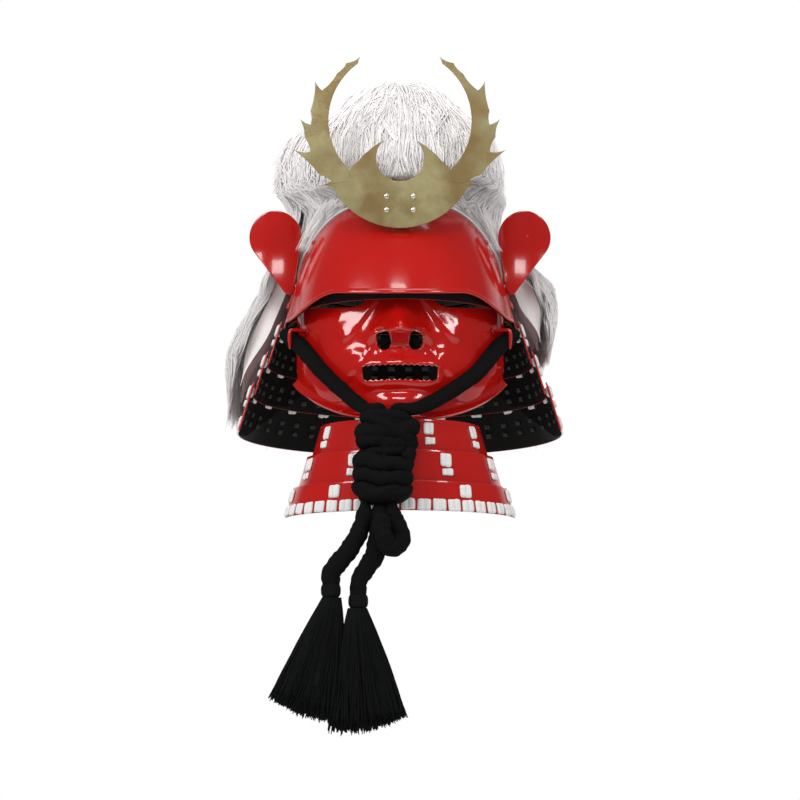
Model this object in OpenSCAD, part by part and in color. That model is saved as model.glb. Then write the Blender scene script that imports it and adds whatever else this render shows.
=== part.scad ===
// Samurai helmet: bowl, visor, crest, hair, laced neck guard, face mask, throat guard and chin cord.
// Millimetres. The front faces -Y, the viewer's right is +X and up is +Z.
// The origin is the centre of the head opening, level with the lower edge of the base band.

/* [Bowl] */
// Outer width of the bowl at its rim
bowl_w = 180; // [174:1:186]
// Outer length of the bowl at its rim, front to back
bowl_l = 210; // [204:1:216]
// Height of the bowl above its rim
bowl_h = 118; // [112:1:124]
// Thickness of the bowl plate
bowl_wall = 1.6; // [1.2:0.1:2.2]
// Fullness of the bowl's profile, where 2 is an ellipse
bowl_round = 2.3; // [2.1:0.1:2.6]
// Height of the band riveted round the bowl's rim
band_h = 24; // [20:1:26]
// Thickness of the base band
band_t = 1.5; // [1:0.1:2]

/* [Visor] */
// Height of the visor's upper edge at the front
visor_top = 86; // [80:1:90]
// Height of the visor's upper edge at its two ends
visor_top_end = 50; // [44:1:56]
// Height of the visor's lower edge at the front
visor_low = 2; // [0:1:8]
// How far the lower edge would rise towards its ends without the drop
visor_arch = 20; // [14:1:22]
// How far the visor's two corners drop
visor_drop = 26; // [20:1:28]
// How far the lower edge stands out from the bowl at the front
visor_reach = 15; // [12:1:20]
// How far the lower edge stands out from the bowl at the ends
visor_side = 12; // [9:1:15]
// Thickness of the visor plate
visor_t = 1.6; // [1.2:0.1:2.2]
// Half angle that the visor covers, from the front
visor_angle = 72; // [68:1:75]

/* [Crest] */
// Thickness of the crest plate
crest_t = 1.5; // [1:0.1:2.5]
// Height of the crest's lowest point
crest_low = 61; // [56:1:66]
// Radius of the crest's round lower edge
crest_r = 65; // [60:1:70]
// Radius of the large hollow between the two horns
horn_r = 61.5; // [58:0.5:62]
// Radius of the small round hollow in the middle
moon_r = 20.6; // [17:0.2:22]
// Width of the prong that the crest slides onto
prong_w = 13; // [10:0.5:14]
// Thickness of the prong
prong_t = 2.4; // [1.8:0.1:3]
// Height of the prong's upright blade
prong_h = 34; // [30:1:40]
// Clearance of the prong in its socket, on each side
prong_gap = 0.2; // [0.1:0.05:0.4]
// How far the crest lifts to come off its prong
crest_lift = 36; // [30:1:40]

/* [Neck guard] */
// Thickness of a lame
lame_t = 1.5; // [1.2:0.1:2]
// Distance from one lame's upper edge to the next
neck_pitch = 27; // [25:1:29]
// Height of a lame
neck_h = 37; // [35:1:39]
// Height of the lowest lame
neck_h_last = 43; // [41:1:46]
// Gap between one lame and the next, which holds the lacing
lame_gap = 2.5; // [2.4:0.1:3]
// Outward slope of the whole neck guard, per millimetre down
neck_slope = 0.45; // [0.42:0.01:0.5]
// Angle of the lames' front ends, from the front
neck_from = 80; // [78:1:84]
// Lift of each lame when the neck guard folds up
neck_lift = 15; // [10:1:18]

/* [Turn-backs] */
// Height of a turn-back's top
ear_top = 90; // [84:1:94]
// Height of a turn-back's lower tip
ear_low = 15; // [12:1:18]
// Width of a turn-back
ear_w = 46; // [40:1:48]
// Thickness of a turn-back
ear_t = 1.6; // [1.2:0.1:2.2]

/* [Mask] */
// Thickness of the mask
mask_t = 2; // [1.6:0.1:2.4]
// Half width of the mouth opening
mouth_w = 33; // [30:1:35]
// Height of the mouth opening
mouth_h = 15; // [12:1:17]
// Diameter of the cheek hooks' rod
hook_d = 3; // [2.4:0.2:3.6]

/* [Throat guard] */
// Distance from one throat lame's upper edge to the next
throat_pitch = 27; // [25:1:29]
// Height of a throat lame
throat_h = 33; // [31:1:35]
// Height of the lowest throat lame
throat_h_last = 26; // [24:1:29]
// Half width of the throat guard at its top
throat_w = 68; // [64:1:72]
// Depth of the throat guard at its top
throat_d = 64; // [61:1:66]
// Outward slope of the throat guard, per millimetre down
throat_slope = 0.44; // [0.4:0.01:0.48]
// Lift of each throat lame when the throat guard folds up
throat_lift = 14; // [8:1:16]

/* [Lacing] */
// Thickness of the lacing pads
pad_t = 1.9; // [1.4:0.1:2]
// Width of a pair of laces
pad_w = 11; // [7:0.5:11.5]
// Length of the long lace of each pair
pad_long = 11; // [9:0.5:12]
// Length of the short cross knot under it
pad_short = 6; // [5:0.5:7]
// Gap between a pad and the plate that it lies on
pad_gap = 0.2; // [0.1:0.05:0.3]

/* [Hair] */
// Height of the hair's top
hair_top = 210; // [200:1:220]
// Half width of the hair's crown
hair_w = 100; // [94:1:106]
// Half length of the hair's crown
hair_l = 116; // [110:1:120]
// Thickness of the cap that the hair is sewn to
cap_t = 2; // [1.6:0.1:2.4]
// Thickness of the hair that falls over the neck guard
fall_t = 20; // [14:1:24]

/* [Chin cord] */
// Diameter of the padded chin cord
cord_d = 13; // [11:0.5:13]
// Diameter of the wound and hanging cord
tail_d = 12; // [10:0.5:12]
// Diameter of the cord wound under the knot
wind_d = 11.2; // [10:0.2:11.2]
// Turns of cord wound under the knot
wind_n = 3; // [3:1:4]
// Height of one turn
wind_pitch = 12.6; // [12.5:0.1:13]
// Length of a tassel's skirt
tassel_h = 110; // [100:1:120]
// Half width of a tassel's skirt at its lower end
tassel_w = 31; // [24:1:33]

/* [Hidden] */

RED = [0.72, 0.06, 0.05];
GOLD = [0.72, 0.62, 0.4];
WHITE = [0.93, 0.91, 0.9];
BLACK = [0.06, 0.06, 0.06];

// Clearance between plates that lie on each other
fit = 0.3;
// Clearance of a rivet's shank in its hole
rivet_fit = 0.05;
rivet_r = 1.25;
rivet_head = 2.4;
rivet_dome_h = 1.2;

// Small helpers
function mix(a, b, t) = a + (b - a) * t;
function unit_range(t) = min(1, max(0, t));
function smooth(t) = let (c = unit_range(t)) c * c * (3 - 2 * c);
function unit(v) = v / norm(v);
function flat(rows) = [for (row = rows) each row];
function steps(from, to, n) = [for (i = [0 : n]) mix(from, to, i / n)];

// A point on an ellipse of half axes a and b, at the angle phi from the front
function ring(a, b, phi, z) = [a * sin(phi), -b * cos(phi), z];

// Faces of a grid of rows by columns, starting at point number from
function grid_faces(rows, cols, from, turn, wrap) = [
    for (i = [0 : rows - 2], j = [0 : cols - (wrap ? 1 : 2)])
        let (k = (j + 1) % cols,
             a = from + i * cols + j, b = from + i * cols + k,
             c = from + (i + 1) * cols + k, d = from + (i + 1) * cols + j)
        each turn ? [[a, b, c], [a, c, d]] : [[a, c, b], [a, d, c]]
];

// Faces that join the lists p and q of point numbers into a strip
function strip_faces(p, q) = [
    for (i = [0 : len(p) - 2]) each [[p[i], q[i], q[i + 1]], [p[i], q[i + 1], p[i + 1]]]
];

// A plate between a grid of outer points and a grid of inner points, rows from the top down
module plate(outer, inner) {
    rows = len(outer);
    cols = len(outer[0]);
    n = rows * cols;
    top = [for (j = [0 : cols - 1]) j];
    low = [for (j = [0 : cols - 1]) (rows - 1) * cols + j];
    first = [for (i = [0 : rows - 1]) i * cols];
    last = [for (i = [0 : rows - 1]) i * cols + cols - 1];
    polyhedron(
        points = concat(flat(outer), flat(inner)),
        faces = concat(
            grid_faces(rows, cols, 0, true, false),
            grid_faces(rows, cols, n, false, false),
            strip_faces(top, [for (p = top) p + n]),
            strip_faces([for (p = low) p + n], low),
            strip_faces([for (p = first) p + n], first),
            strip_faces(last, [for (p = last) p + n])
        ),
        convexity = 8
    );
}

// A closed dome between outer and inner rings, rows from the rim up, each closed by its own apex
module dome(outer, inner, outer_apex, inner_apex) {
    rows = len(outer);
    cols = len(outer[0]);
    n = rows * cols;
    last = (rows - 1) * cols;
    rim = [for (j = [0 : cols]) j % cols];
    polyhedron(
        points = concat(flat(outer), flat(inner), [outer_apex, inner_apex]),
        faces = concat(
            grid_faces(rows, cols, 0, false, true),
            grid_faces(rows, cols, n, true, true),
            strip_faces([for (p = rim) p + n], rim),
            [for (j = [0 : cols - 1]) [last + (j + 1) % cols, last + j, 2 * n]],
            [for (j = [0 : cols - 1]) [n + last + j, n + last + (j + 1) % cols, 2 * n + 1]]
        ),
        convexity = 8
    );
}

// A solid made of closed rings of points, counter-clockwise seen against their order, with flat ends
module loft(rings) {
    rows = len(rings);
    cols = len(rings[0]);
    polyhedron(
        points = flat(rings),
        faces = concat(
            grid_faces(rows, cols, 0, false, true),
            [for (j = [1 : cols - 2]) [0, j, j + 1]],
            [for (j = [1 : cols - 2]) (rows - 1) * cols * [1, 1, 1] + [0, j + 1, j]]
        ),
        convexity = 8
    );
}

// A tube of diameter d swept along the points, where up is any direction that it never follows
module tube(route, d, up, sides) {
    last = len(route) - 1;
    loft([
        for (i = [0 : last])
            let (t = unit(route[min(last, i + 1)] - route[max(0, i - 1)]),
                 u = unit(cross(up, t)),
                 v = cross(t, u))
            [for (k = [0 : sides - 1])
                route[i] + d / 2 * (cos(360 * k / sides) * u + sin(360 * k / sides) * v)]
    ]);
}

// A flat band that follows an ellipse of half axes a and b
function oval_outline(a, b) = [for (phi = [0 : turn_step : 359]) [a * sin(phi), -b * cos(phi)]];

module band(a, b, t, h) {
    linear_extrude(h) difference() {
        polygon(oval_outline(a + t, b + t));
        polygon(oval_outline(a, b));
    }
}

// A domed rivet head that faces -Y from y = 0
module rivet_dome() {
    rotate([90, 0, 0]) rotate_extrude($fn = 24) polygon([
        [0, 0], [rivet_head, 0], [rivet_head * 0.88, rivet_dome_h * 0.5],
        [rivet_head * 0.55, rivet_dome_h * 0.88], [0, rivet_dome_h]
    ]);
}

// A rivet whose shank goes through plates from y = 0 to y = through
module rivet(through) {
    rotate([-90, 0, 0]) cylinder(r = rivet_r - rivet_fit, h = through, $fn = 20);
    rivet_dome();
}

// Places the children on a facet between p and q, which leans out by slope below them
module on_facet(p, q, slope) {
    translate((p + q) / 2) rotate([0, 0, atan2(q[1] - p[1], q[0] - p[0])]) rotate([-atan(slope), 0, 0])
        children();
}

// Outward slope of the facet from the corners p and q down to the corners low_p and low_q
function slope_of(p, q, low_p, low_q) =
    let (d = (low_p + low_q - p - q) / 2, out = unit([q[1] - p[1], p[0] - q[0], 0])) d * out / -d[2];

// Angle of one facet of the bowl, the visor and the lames
turn_step = 8;
// Gap between shells that lie on each other
shell_fit = 0.5;
// Gap between a straight piece and a curved shell
chord_fit = 0.7;

// Bowl: how far its side has drawn in at height z, and how far it leans there
function bowl_f(z) = pow(1 - pow(unit_range(z / bowl_h), bowl_round), 1 / bowl_round);
function bowl_lean(z) = asin(pow(unit_range(z / bowl_h), bowl_round / 2));
function bowl_point(phi, z, off) = ring(
    bowl_w / 2 * bowl_f(z) + off * cos(bowl_lean(z)),
    bowl_l / 2 * bowl_f(z) + off * cos(bowl_lean(z)),
    phi, z + off * sin(bowl_lean(z))
);
// Height at the share t of the bowl's profile, above the height from
function bowl_rise(t, from) =
    let (start = bowl_lean(from)) bowl_h * pow(sin(mix(start, 90, t)), 2 / bowl_round);

bowl_rows = 8;
round_angles = [for (phi = [-180 : turn_step : 179]) phi];

module bowl_shell(rim, rows, low, high) {
    dome(
        [for (i = [0 : rows - 1])
            [for (phi = round_angles) bowl_point(phi, bowl_rise(i / rows, rim(phi)), high)]],
        [for (i = [0 : rows - 1])
            [for (phi = round_angles) bowl_point(phi, bowl_rise(i / rows, rim(phi)), low)]],
        [0, 0, bowl_h + high],
        [0, 0, bowl_h + low]
    );
}

module bowl() {
    color(RED) bowl_shell(function (phi) 0, bowl_rows, -bowl_wall, 0);
}

module base_band() {
    color(RED) band(bowl_w / 2 + fit, bowl_l / 2 + fit, band_t, band_h);
}

// Liner: a padded cloth dome held inside the bowl by a hem at its rim
liner_gap = 7;
liner_t = 2;
liner_low = 24;
hem_h = 9;
hem_top = liner_low - (bowl_wall + liner_gap + liner_t) * sin(bowl_lean(liner_low)) - fit;

module liner() {
    outer = -bowl_wall - liner_gap;
    color(BLACK) bowl_shell(function (phi) liner_low, 6, outer - liner_t, outer);
}

module liner_hem() {
    thick = liner_t + liner_gap - 1;
    inset = bowl_wall + chord_fit + thick;
    color(BLACK) translate([0, 0, hem_top - hem_h])
        band(bowl_w / 2 * bowl_f(hem_top) - inset, bowl_l / 2 * bowl_f(hem_top) - inset, thick, hem_h);
}

// Visor: a plate that leaves the bowl's front and reaches out over the eyes
function visor_t_at(phi) = unit_range(abs(phi) / visor_angle);
function visor_high(phi) = mix(visor_top, visor_top_end, pow(visor_t_at(phi), 4));
// The lower edge looks level from the front, and drops to a point at each corner
visor_bend = 30;
function visor_edge(phi) = visor_low + visor_arch * (1 - cos(phi))
    - visor_drop * smooth((abs(phi) - visor_bend) / (visor_angle - visor_bend));
function visor_flare(phi) = mix(visor_reach, visor_side, visor_t_at(phi));
// A point off the bowl at phi, at the height and flare that the visor has at the angle at
function visor_level(phi, at, t, off) = bowl_point(
    phi, mix(visor_high(at), visor_edge(at), t), shell_fit + off + visor_flare(at) * pow(t, 1.6)
);
function visor_point(phi, t, off) = visor_level(phi, phi, t, off);

module visor() {
    angles = steps(-visor_angle, visor_angle, 18);
    rows = steps(0, 1, 7);
    color(RED) plate(
        [for (t = rows) [for (phi = angles) visor_point(phi, t, visor_t)]],
        [for (t = rows) [for (phi = angles) visor_point(phi, t, 0)]]
    );
}

// Share of the visor's height at which its rivets sit
visor_rivet_at = 0.07;

module visor_rivets() {
    color(RED) for (k = [-2, -1, 1, 2]) {
        phi = k * 4 * turn_step;
        p = visor_level(phi - 2, phi, visor_rivet_at, visor_t + shell_fit);
        q = visor_level(phi + 2, phi, visor_rivet_at, visor_t + shell_fit);
        low_p = visor_level(phi - 2, phi, 2 * visor_rivet_at, visor_t + shell_fit);
        low_q = visor_level(phi + 2, phi, 2 * visor_rivet_at, visor_t + shell_fit);
        on_facet(p, q, slope_of(p, q, low_p, low_q)) rivet_dome();
    }
}

module base_band_rivets() {
    z = neck_top - 4;
    off = lame_off(1, z) + lame_t + pad_gap;
    color(RED) for (phi = [neck_from + 12 : 4 * turn_step : 360 - neck_from - 10]) {
        p = ring(bowl_w / 2 + off, bowl_l / 2 + off, phi - turn_step / 2, z);
        q = ring(bowl_w / 2 + off, bowl_l / 2 + off, phi + turn_step / 2, z);
        on_facet(p, q, neck_lean) rivet_dome();
    }
}

// Hair: a cap on the bowl that carries it, a full crown, and falls over the neck guard
cap_gap = 0.9;
hair_line = 2;
hair_back_rim = 46;
hair_mid = 108;
hair_round = 1.85;
hair_shift = 18;

function cap_rim(phi) =
    let (side = abs(phi))
    side <= visor_angle
        ? visor_high(phi) + hair_line
        : mix(visor_top_end + hair_line, band_h + 3, smooth((side - visor_angle) / 30));
function crown_rim(phi) =
    let (side = abs(phi))
    side <= visor_angle
        ? visor_high(phi) + 2 * hair_line
        : mix(visor_top_end + 2 * hair_line, hair_back_rim, smooth((side - visor_angle) / 30));

module hair_cap() {
    color(WHITE) bowl_shell(function (phi) cap_rim(phi), 7, cap_gap, cap_gap + cap_t);
}

// Locks of the crown: fuller on the left than on the right, a waist under the top, and waves all round
function swell(phi, t) =
    smooth(t / 0.4) * (1 - pow(t, 5)) * smooth((abs(phi) - 20) / 30) * (
        14 * sin(3 * phi) * bump(t - 0.5, 0.13) - 9 * bump(t - 0.74, 0.08)
        + 5 * sin(5 * phi + 60) * sin(720 * t + 40)
    );
function swollen(p, out) =
    let (away = [p[0], p[1] - hair_shift, 0.6 * (p[2] - 60)]) p + out * unit(away);

// The crown hugs the bowl up to its widest level, and rounds over above it
function crown_point(phi, t) =
    let (lift = unit_range(t / 0.4),
         lean = 90 * unit_range((t - 0.4) / 0.6),
         back = smooth((abs(phi) - 90) / 30),
         z = mix(crown_rim(phi), hair_mid, lift),
         low = bowl_point(phi, z, mix(7, 20, back)),
         draw = pow(cos(lean), 2 / hair_round),
         rise = (hair_top - hair_mid) * pow(sin(lean), 2 / hair_round),
         high = ring(hair_w * draw, hair_l * draw, phi, z + rise))
    swollen(mix(low, high + [0, hair_shift, 0], pow(lift, mix(4, 1, back))), swell(phi, t));

module hair_crown() {
    rows = 13;
    inner = cap_gap + cap_t + shell_fit;
    color(WHITE) dome(
        [for (i = [0 : rows - 1]) [for (phi = round_angles) crown_point(phi, i / rows)]],
        [for (i = [0 : rows - 1])
            [for (phi = round_angles) bowl_point(phi, bowl_rise(i / rows, crown_rim(phi)), inner)]],
        [0, hair_shift, hair_top],
        [0, 0, bowl_h + inner]
    );
}

// The falls' inner side stays outside the laced lames, and closes on them towards the bottom
fall_stand = 10;
fall_ease = 0.05;
// Their upper edge meets the crown's rim, which slopes with the bowl
fall_in = cap_gap + cap_t + shell_fit;
fall_top = hair_back_rim - fit
    + (fall_in + bowl_w / 2 * (1 - bowl_f(hair_back_rim))) * tan(bowl_lean(hair_back_rim));
function fall_off(z) = z > neck_top
    ? mix(fall_in, fall_stand, (fall_top - z) / (fall_top - neck_top))
    : fall_stand + (neck_slope - fall_ease) * (neck_top - max(z, neck_bottom));

// The falls thin towards their ends, and are fullest round the height full_z
function fall_deep(t, z, full, full_z) =
    fall_t * (1 - 0.75 * pow(t, 2)) + full * bump(z - full_z, 45) * smooth(4 * t);

module hair_fall(from, to, low, cols, full, full_z) {
    angles = steps(from, to, cols);
    rows = steps(0, 1, 9);
    color(WHITE) plate(
        [for (t = rows) [for (phi = angles)
            let (z = mix(fall_top, low, t), off = fall_off(z) + fall_deep(t, z, full, full_z))
            ring(bowl_w / 2 + off, bowl_l / 2 + off, phi, z)]],
        [for (t = rows) [for (phi = angles)
            let (z = mix(fall_top, low, t), off = fall_off(z))
            ring(bowl_w / 2 + off, bowl_l / 2 + off, phi, z)]]
    );
}

// Angles of the falls, from the front, and the heights where they end
fall_side = 90;
fall_split = 120;
left_low = -88;
right_low = -38;
back_low = -96;

module hair_left() {
    hair_fall(-fall_split, -fall_side, left_low, 4, 14, -30);
}

module hair_right() {
    hair_fall(fall_side, fall_split, right_low, 4, 16, 20);
}

module hair_back() {
    hair_fall(fall_split + 1, 360 - fall_split - 1, back_low, 15, 8, -10);
}

// Crest: outline in X and Z, drawn for the right half
lower_eye = [0, crest_low + crest_r];
horn_eye = [0, crest_low + 94];
moon_eye = [0, crest_low + 61];
spikes = [[68, 37], [59, 41], [69, 46], [91, 68], [77, 66], [82, 79], [86, 95], [77, 90],
          [77, 102], [73, 128], [67, 120], [54, 135], [46, 144], [34, 149.5]];
inner_horn = [[35, 59], [26, 68]];

function mirror_x(p) = [-p[0], p[1]];
function arc(centre, r, from, to, n) = [for (t = steps(from, to, n)) centre + r * [cos(t), sin(t)]];

crest_half = concat(
    arc(lower_eye, crest_r, -90, -27, 8),
    [for (p = spikes) p + [0, crest_low]],
    arc(horn_eye, horn_r, 54, -45, 14),
    [for (p = inner_horn) p + [0, crest_low]],
    arc(moon_eye, moon_r, 46, -90, 12)
);

// The socket lies behind the crest, and the prong stands behind its own gap
crest_back = -bowl_l / 2 - 2;
socket_back = 1;
socket_wall = 1.2;
socket_up = 5;
socket_w = 30;
socket_h = 28;
socket_low = crest_low + 8;
crest_rivet_x = 11.5;
crest_rivet_z = [15.5, 27.5];
flat_head_r = 1.9;
flat_head_h = 0.8;
prong_front = crest_back + socket_back + prong_gap;
prong_low = crest_low + 3;

module crest_holes(r) {
    for (x = [-crest_rivet_x, crest_rivet_x], z = crest_rivet_z)
        translate([x, crest_back - 5, crest_low + z]) rotate([-90, 0, 0]) cylinder(r = r, h = 10, $fn = 20);
}

module crest_plate() {
    color(GOLD) difference() {
        translate([0, crest_back, 0]) rotate([90, 0, 0]) linear_extrude(crest_t)
            polygon(concat(crest_half, [for (i = [len(crest_half) - 2 : -1 : 1]) mirror_x(crest_half[i])]));
        crest_holes(rivet_r);
    }
}

module crest_socket() {
    pocket_w = prong_w + 2 * prong_gap;
    pocket_t = prong_t + 2 * prong_gap;
    color(GOLD) difference() {
        union() {
            translate([-socket_w / 2, crest_back, socket_low]) cube([socket_w, socket_back, socket_h]);
            translate([-pocket_w / 2 - socket_wall, crest_back, socket_low]) cube([
                pocket_w + 2 * socket_wall, socket_back + pocket_t + socket_wall, socket_h + socket_up
            ]);
        }
        translate([-pocket_w / 2, crest_back + socket_back, socket_low - 1])
            cube([pocket_w, pocket_t, prong_low + prong_h + fit - socket_low + 1]);
        crest_holes(rivet_r);
    }
}

module crest_rivets() {
    color(GOLD) for (x = [-crest_rivet_x, crest_rivet_x], z = crest_rivet_z)
        translate([x, crest_back - crest_t, crest_low + z]) {
            rotate([-90, 0, 0]) cylinder(r = rivet_r - rivet_fit, h = crest_t + socket_back, $fn = 20);
            rotate([90, 0, 0]) cylinder(r = flat_head_r, h = flat_head_h, $fn = 24);
            translate([0, crest_t + socket_back, 0]) rotate([-90, 0, 0])
                cylinder(r = flat_head_r, h = flat_head_h, $fn = 24);
        }
}

// The prong: a foot that lies on the visor, and a blade that turns up in front of it
foot_out = [-1.6, 1.3];
module crest_prong() {
    foot_t = (visor_top - prong_low) / (visor_top - visor_low);
    foot = [for (t = [0.04, mix(0.04, foot_t, 0.5), foot_t])
        let (p = visor_point(0, t, visor_t + chord_fit + 0.2 * t)) [p[1], p[2]]];
    bend = prong_front + prong_t;
    color(GOLD) rotate([90, 0, 90]) translate([0, 0, -prong_w / 2]) linear_extrude(prong_w)
        polygon([
            foot[0],
            foot[1],
            foot[2],
            foot[2] - [prong_t, prong_t * 2],
            [prong_front, foot[2][1] - prong_t * 2],
            [prong_front, prong_low + prong_h],
            [bend, prong_low + prong_h],
            [bend, foot[2][1] - prong_t],
            foot[2] + foot_out,
            foot[1] + foot_out,
            foot[0] + foot_out
        ]);
}

// Neck guard: rings of lames, each outside the one above it
neck_n = 4;
neck_top = band_h - 4;
// Outward slope of a single lame
neck_lean = neck_slope - (lame_t + lame_gap) / neck_pitch;
neck_low = [for (i = [1 : neck_n]) lame_z(i) - (i == neck_n ? neck_h_last : neck_h)];
neck_bottom = neck_low[neck_n - 1];
neck_angles = [for (phi = [neck_from : turn_step : 360 - neck_from]) phi];

function lame_z(i) = neck_top - (i - 1) * neck_pitch;
function lame_off(i, z) = 2 * fit + band_t + (i - 1) * (lame_t + lame_gap) + neck_lean * (neck_top - z);
function neck_point(i, phi, z, off) =
    ring(bowl_w / 2 + lame_off(i, z) + off, bowl_l / 2 + lame_off(i, z) + off, phi, z);

module neck_lame(i) {
    rows = [lame_z(i), neck_low[i - 1]];
    color(RED) plate(
        [for (z = rows) [for (phi = neck_angles) neck_point(i, phi, z, lame_t)]],
        [for (z = rows) [for (phi = neck_angles) neck_point(i, phi, z, 0)]]
    );
}

// A lace where it passes between two lames, just clear of the upper one
lace_in = 4;
lace_in_h = 8;

module inner_lace(slope) {
    deep = lame_gap * cos(atan(slope)) - fit - pad_gap;
    translate([-pad_w / 2, pad_gap, -lace_in_h]) cube([pad_w, deep, lace_in_h]);
}

// One pad of lacing, with its top at height z on lame i, in the facet that starts at phi
module neck_pad(i, phi, z, w, h) {
    on_facet(neck_point(i, phi, z, lame_t), neck_point(i, phi + turn_step, z, lame_t), neck_lean)
        translate([-w / 2, -pad_t - pad_gap, -h]) cube([w, pad_t, h]);
}

module neck_lacing(i) {
    long_z = lame_z(i) - 2;
    first = neck_from + (i == 1 ? 2 * turn_step : 0);
    color(WHITE) for (phi = [first : 2 * turn_step : 359 - first]) {
        neck_pad(i, phi, long_z, pad_w, pad_long);
        neck_pad(i, phi, long_z - pad_long - 2, pad_w, pad_short);
        if (i > 1) on_facet(neck_point(i, phi, lame_z(i) - lace_in, 0),
                            neck_point(i, phi + turn_step, lame_z(i) - lace_in, 0), neck_lean)
            inner_lace(neck_lean);
    }
}

// Height of the knots' upper edge above the lowest lame's edge
knot_row = 14;

module neck_edge_knots() {
    color(WHITE) for (phi = [neck_from : turn_step : 359 - neck_from])
        neck_pad(neck_n, phi, neck_bottom + knot_row, pad_w, pad_w);
}

// Turn-backs: egg-shaped wings at the front ends of the top lame
ear_x = bowl_w / 2 + 19;
ear_y = -30;
ear_bend = 60;
// The lower tip's radius, and how far it lies inside the wing's middle
tip_r = 5;
tip_in = 12;
// The tab behind the wing, riveted to the lame's front end
tab_front = 19;
tab_back = 8;
tab_low = 4;
tab_high = 17;
tab_z = lame_z(1) - 12;

module on_tab() {
    p = neck_point(1, neck_from, tab_z, lame_t);
    q = neck_point(1, neck_from + turn_step, tab_z, lame_t);
    on_facet(p, q, neck_lean) children();
}

module ear_outline() {
    r = ear_w / 2;
    hull() {
        translate([ear_x, ear_top - r]) circle(r = r, $fn = 40);
        translate([ear_x - tip_in, ear_low + tip_r]) circle(r = tip_r, $fn = 24);
    }
}

module ear_rivets_at() {
    for (dx = [-5, 5]) on_tab() translate([dx, 0, 0]) children();
}

module turn_back_right() {
    color(RED) union() {
        intersection() {
            translate([0, 0, ear_low - 10]) linear_extrude(ear_top - ear_low + 20) difference() {
                translate([ear_x, ear_y + ear_bend]) circle(r = ear_bend, $fn = 72);
                translate([ear_x, ear_y + ear_bend]) circle(r = ear_bend - ear_t, $fn = 72);
                translate([ear_x - 2 * ear_w, ear_y + ear_w]) square([4 * ear_w, 4 * ear_bend]);
            }
            translate([0, ear_y + ear_w, 0]) rotate([90, 0, 0]) linear_extrude(2 * ear_w) ear_outline();
        }
        difference() {
            on_tab() translate([-tab_front, -ear_t - pad_gap, -tab_low])
                cube([tab_front + tab_back, ear_t, tab_low + tab_high]);
            ear_rivets_at() rotate([90, 0, 0]) cylinder(r = rivet_r, h = 10, center = true, $fn = 20);
        }
    }
}

module turn_back_left() {
    mirror([1, 0, 0]) turn_back_right();
}

module turn_back_rivets() {
    color(RED) for (side = [0, 1]) mirror([side, 0, 0]) ear_rivets_at()
        translate([0, -ear_t - pad_gap, 0]) rivet(ear_t);
}

// Cord rings: each hangs in an eye below the bowl's rim
ring_at = [bowl_w / 2 - 1, -10, -15];
ring_wire = 2.2;
ring_r = cord_d / 2 + 2.4 + ring_wire / 2;
eye_wire = 1.6;
eye_r = 2.9;
eye_up = ring_r + 0.8;
staple_t = 1.2;
staple_w = 6;
staple_h = 11;
staple_x = bowl_w / 2 * cos(asin(-ring_at[1] / (bowl_l / 2))) - bowl_wall - chord_fit - 0.3 - staple_t;

module torus(r, wire) {
    rotate_extrude($fn = 48) translate([r, 0]) circle(d = wire, $fn = 16);
}

module cord_ring_right() {
    color(GOLD) translate(ring_at) rotate([90, 0, 0]) torus(ring_r, ring_wire);
}

module cord_ring_left() {
    mirror([1, 0, 0]) cord_ring_right();
}

module ring_staples() {
    top = ring_at[2] + eye_up + eye_r;
    color(GOLD) for (side = [0, 1]) mirror([side, 0, 0]) {
        translate(ring_at + [0, 0, eye_up]) rotate([0, 90, 0]) torus(eye_r, eye_wire);
        translate([staple_x, ring_at[1] - staple_w / 2, top - 0.6]) {
            cube([ring_at[0] + eye_wire / 2 - staple_x, staple_w, staple_t]);
            cube([staple_t, staple_w, staple_h]);
        }
    }
}

// Mask: a face from under the eyes to the chin
mask_y = -10;
mask_angle = 76;
mask_end = -104;
nose_top = 14;
nose_tip = -27;
mouth_z = -63;
nostril_x = 13.5;
nostril_z = -35;

// Upper edge: its height over the nose, and how it dips under the eyes, rises at the cheeks and ends
brow_z = 11;
eye_dip = 15;
cheek_rise = 3;
end_dip = 4;
function mask_high(phi) =
    let (side = abs(phi))
    brow_z - eye_dip * smooth((side - 6) / 20) + cheek_rise * smooth((side - 32) / 24)
    - end_dip * smooth((side - 58) / 18);
// Lower edge: how far it rises from the chin to the ears
jaw_rise = 40;
function mask_low(phi) = mask_end + jaw_rise * pow(abs(phi) / mask_angle, 2.2);

// Half width at the cheeks and at the jaw, and where it starts to draw in
cheek_half = 93;
jaw_half = 73;
jaw_z = -50;
jaw_tall = 60;
function mask_half(z) = mix(cheek_half, jaw_half, smooth((jaw_z - z) / jaw_tall));
// Depth in front of the mask's axis at its upper edge and at the chin
brow_deep = 80;
chin_deep = 88;
deep_z = 10;
deep_tall = 70;
function mask_deep(z) = mix(brow_deep, chin_deep, smooth((deep_z - z) / deep_tall));

// Forms that stand out of the mask, each with its height, place and width
nose_root_out = 6;
nose_out = 26;
nose_root_w = 9;
nose_w = 18;
nose_under = 13;
lip_out = 5;
lip_tall = 17;
lip_wide = 40;
chin_out = 5;
chin_z = -90;
chin_tall = 10;
chin_wide = 22;
cheek_out = 5;
cheek_z = -18;
cheek_tall = 14;
cheek_x = 54;
cheek_wide = 18;
crease_in = 3;
crease_top = -25;
crease_low = -85;
crease_x = 20;
crease_lean = 0.55;
crease_w = 4;

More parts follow.
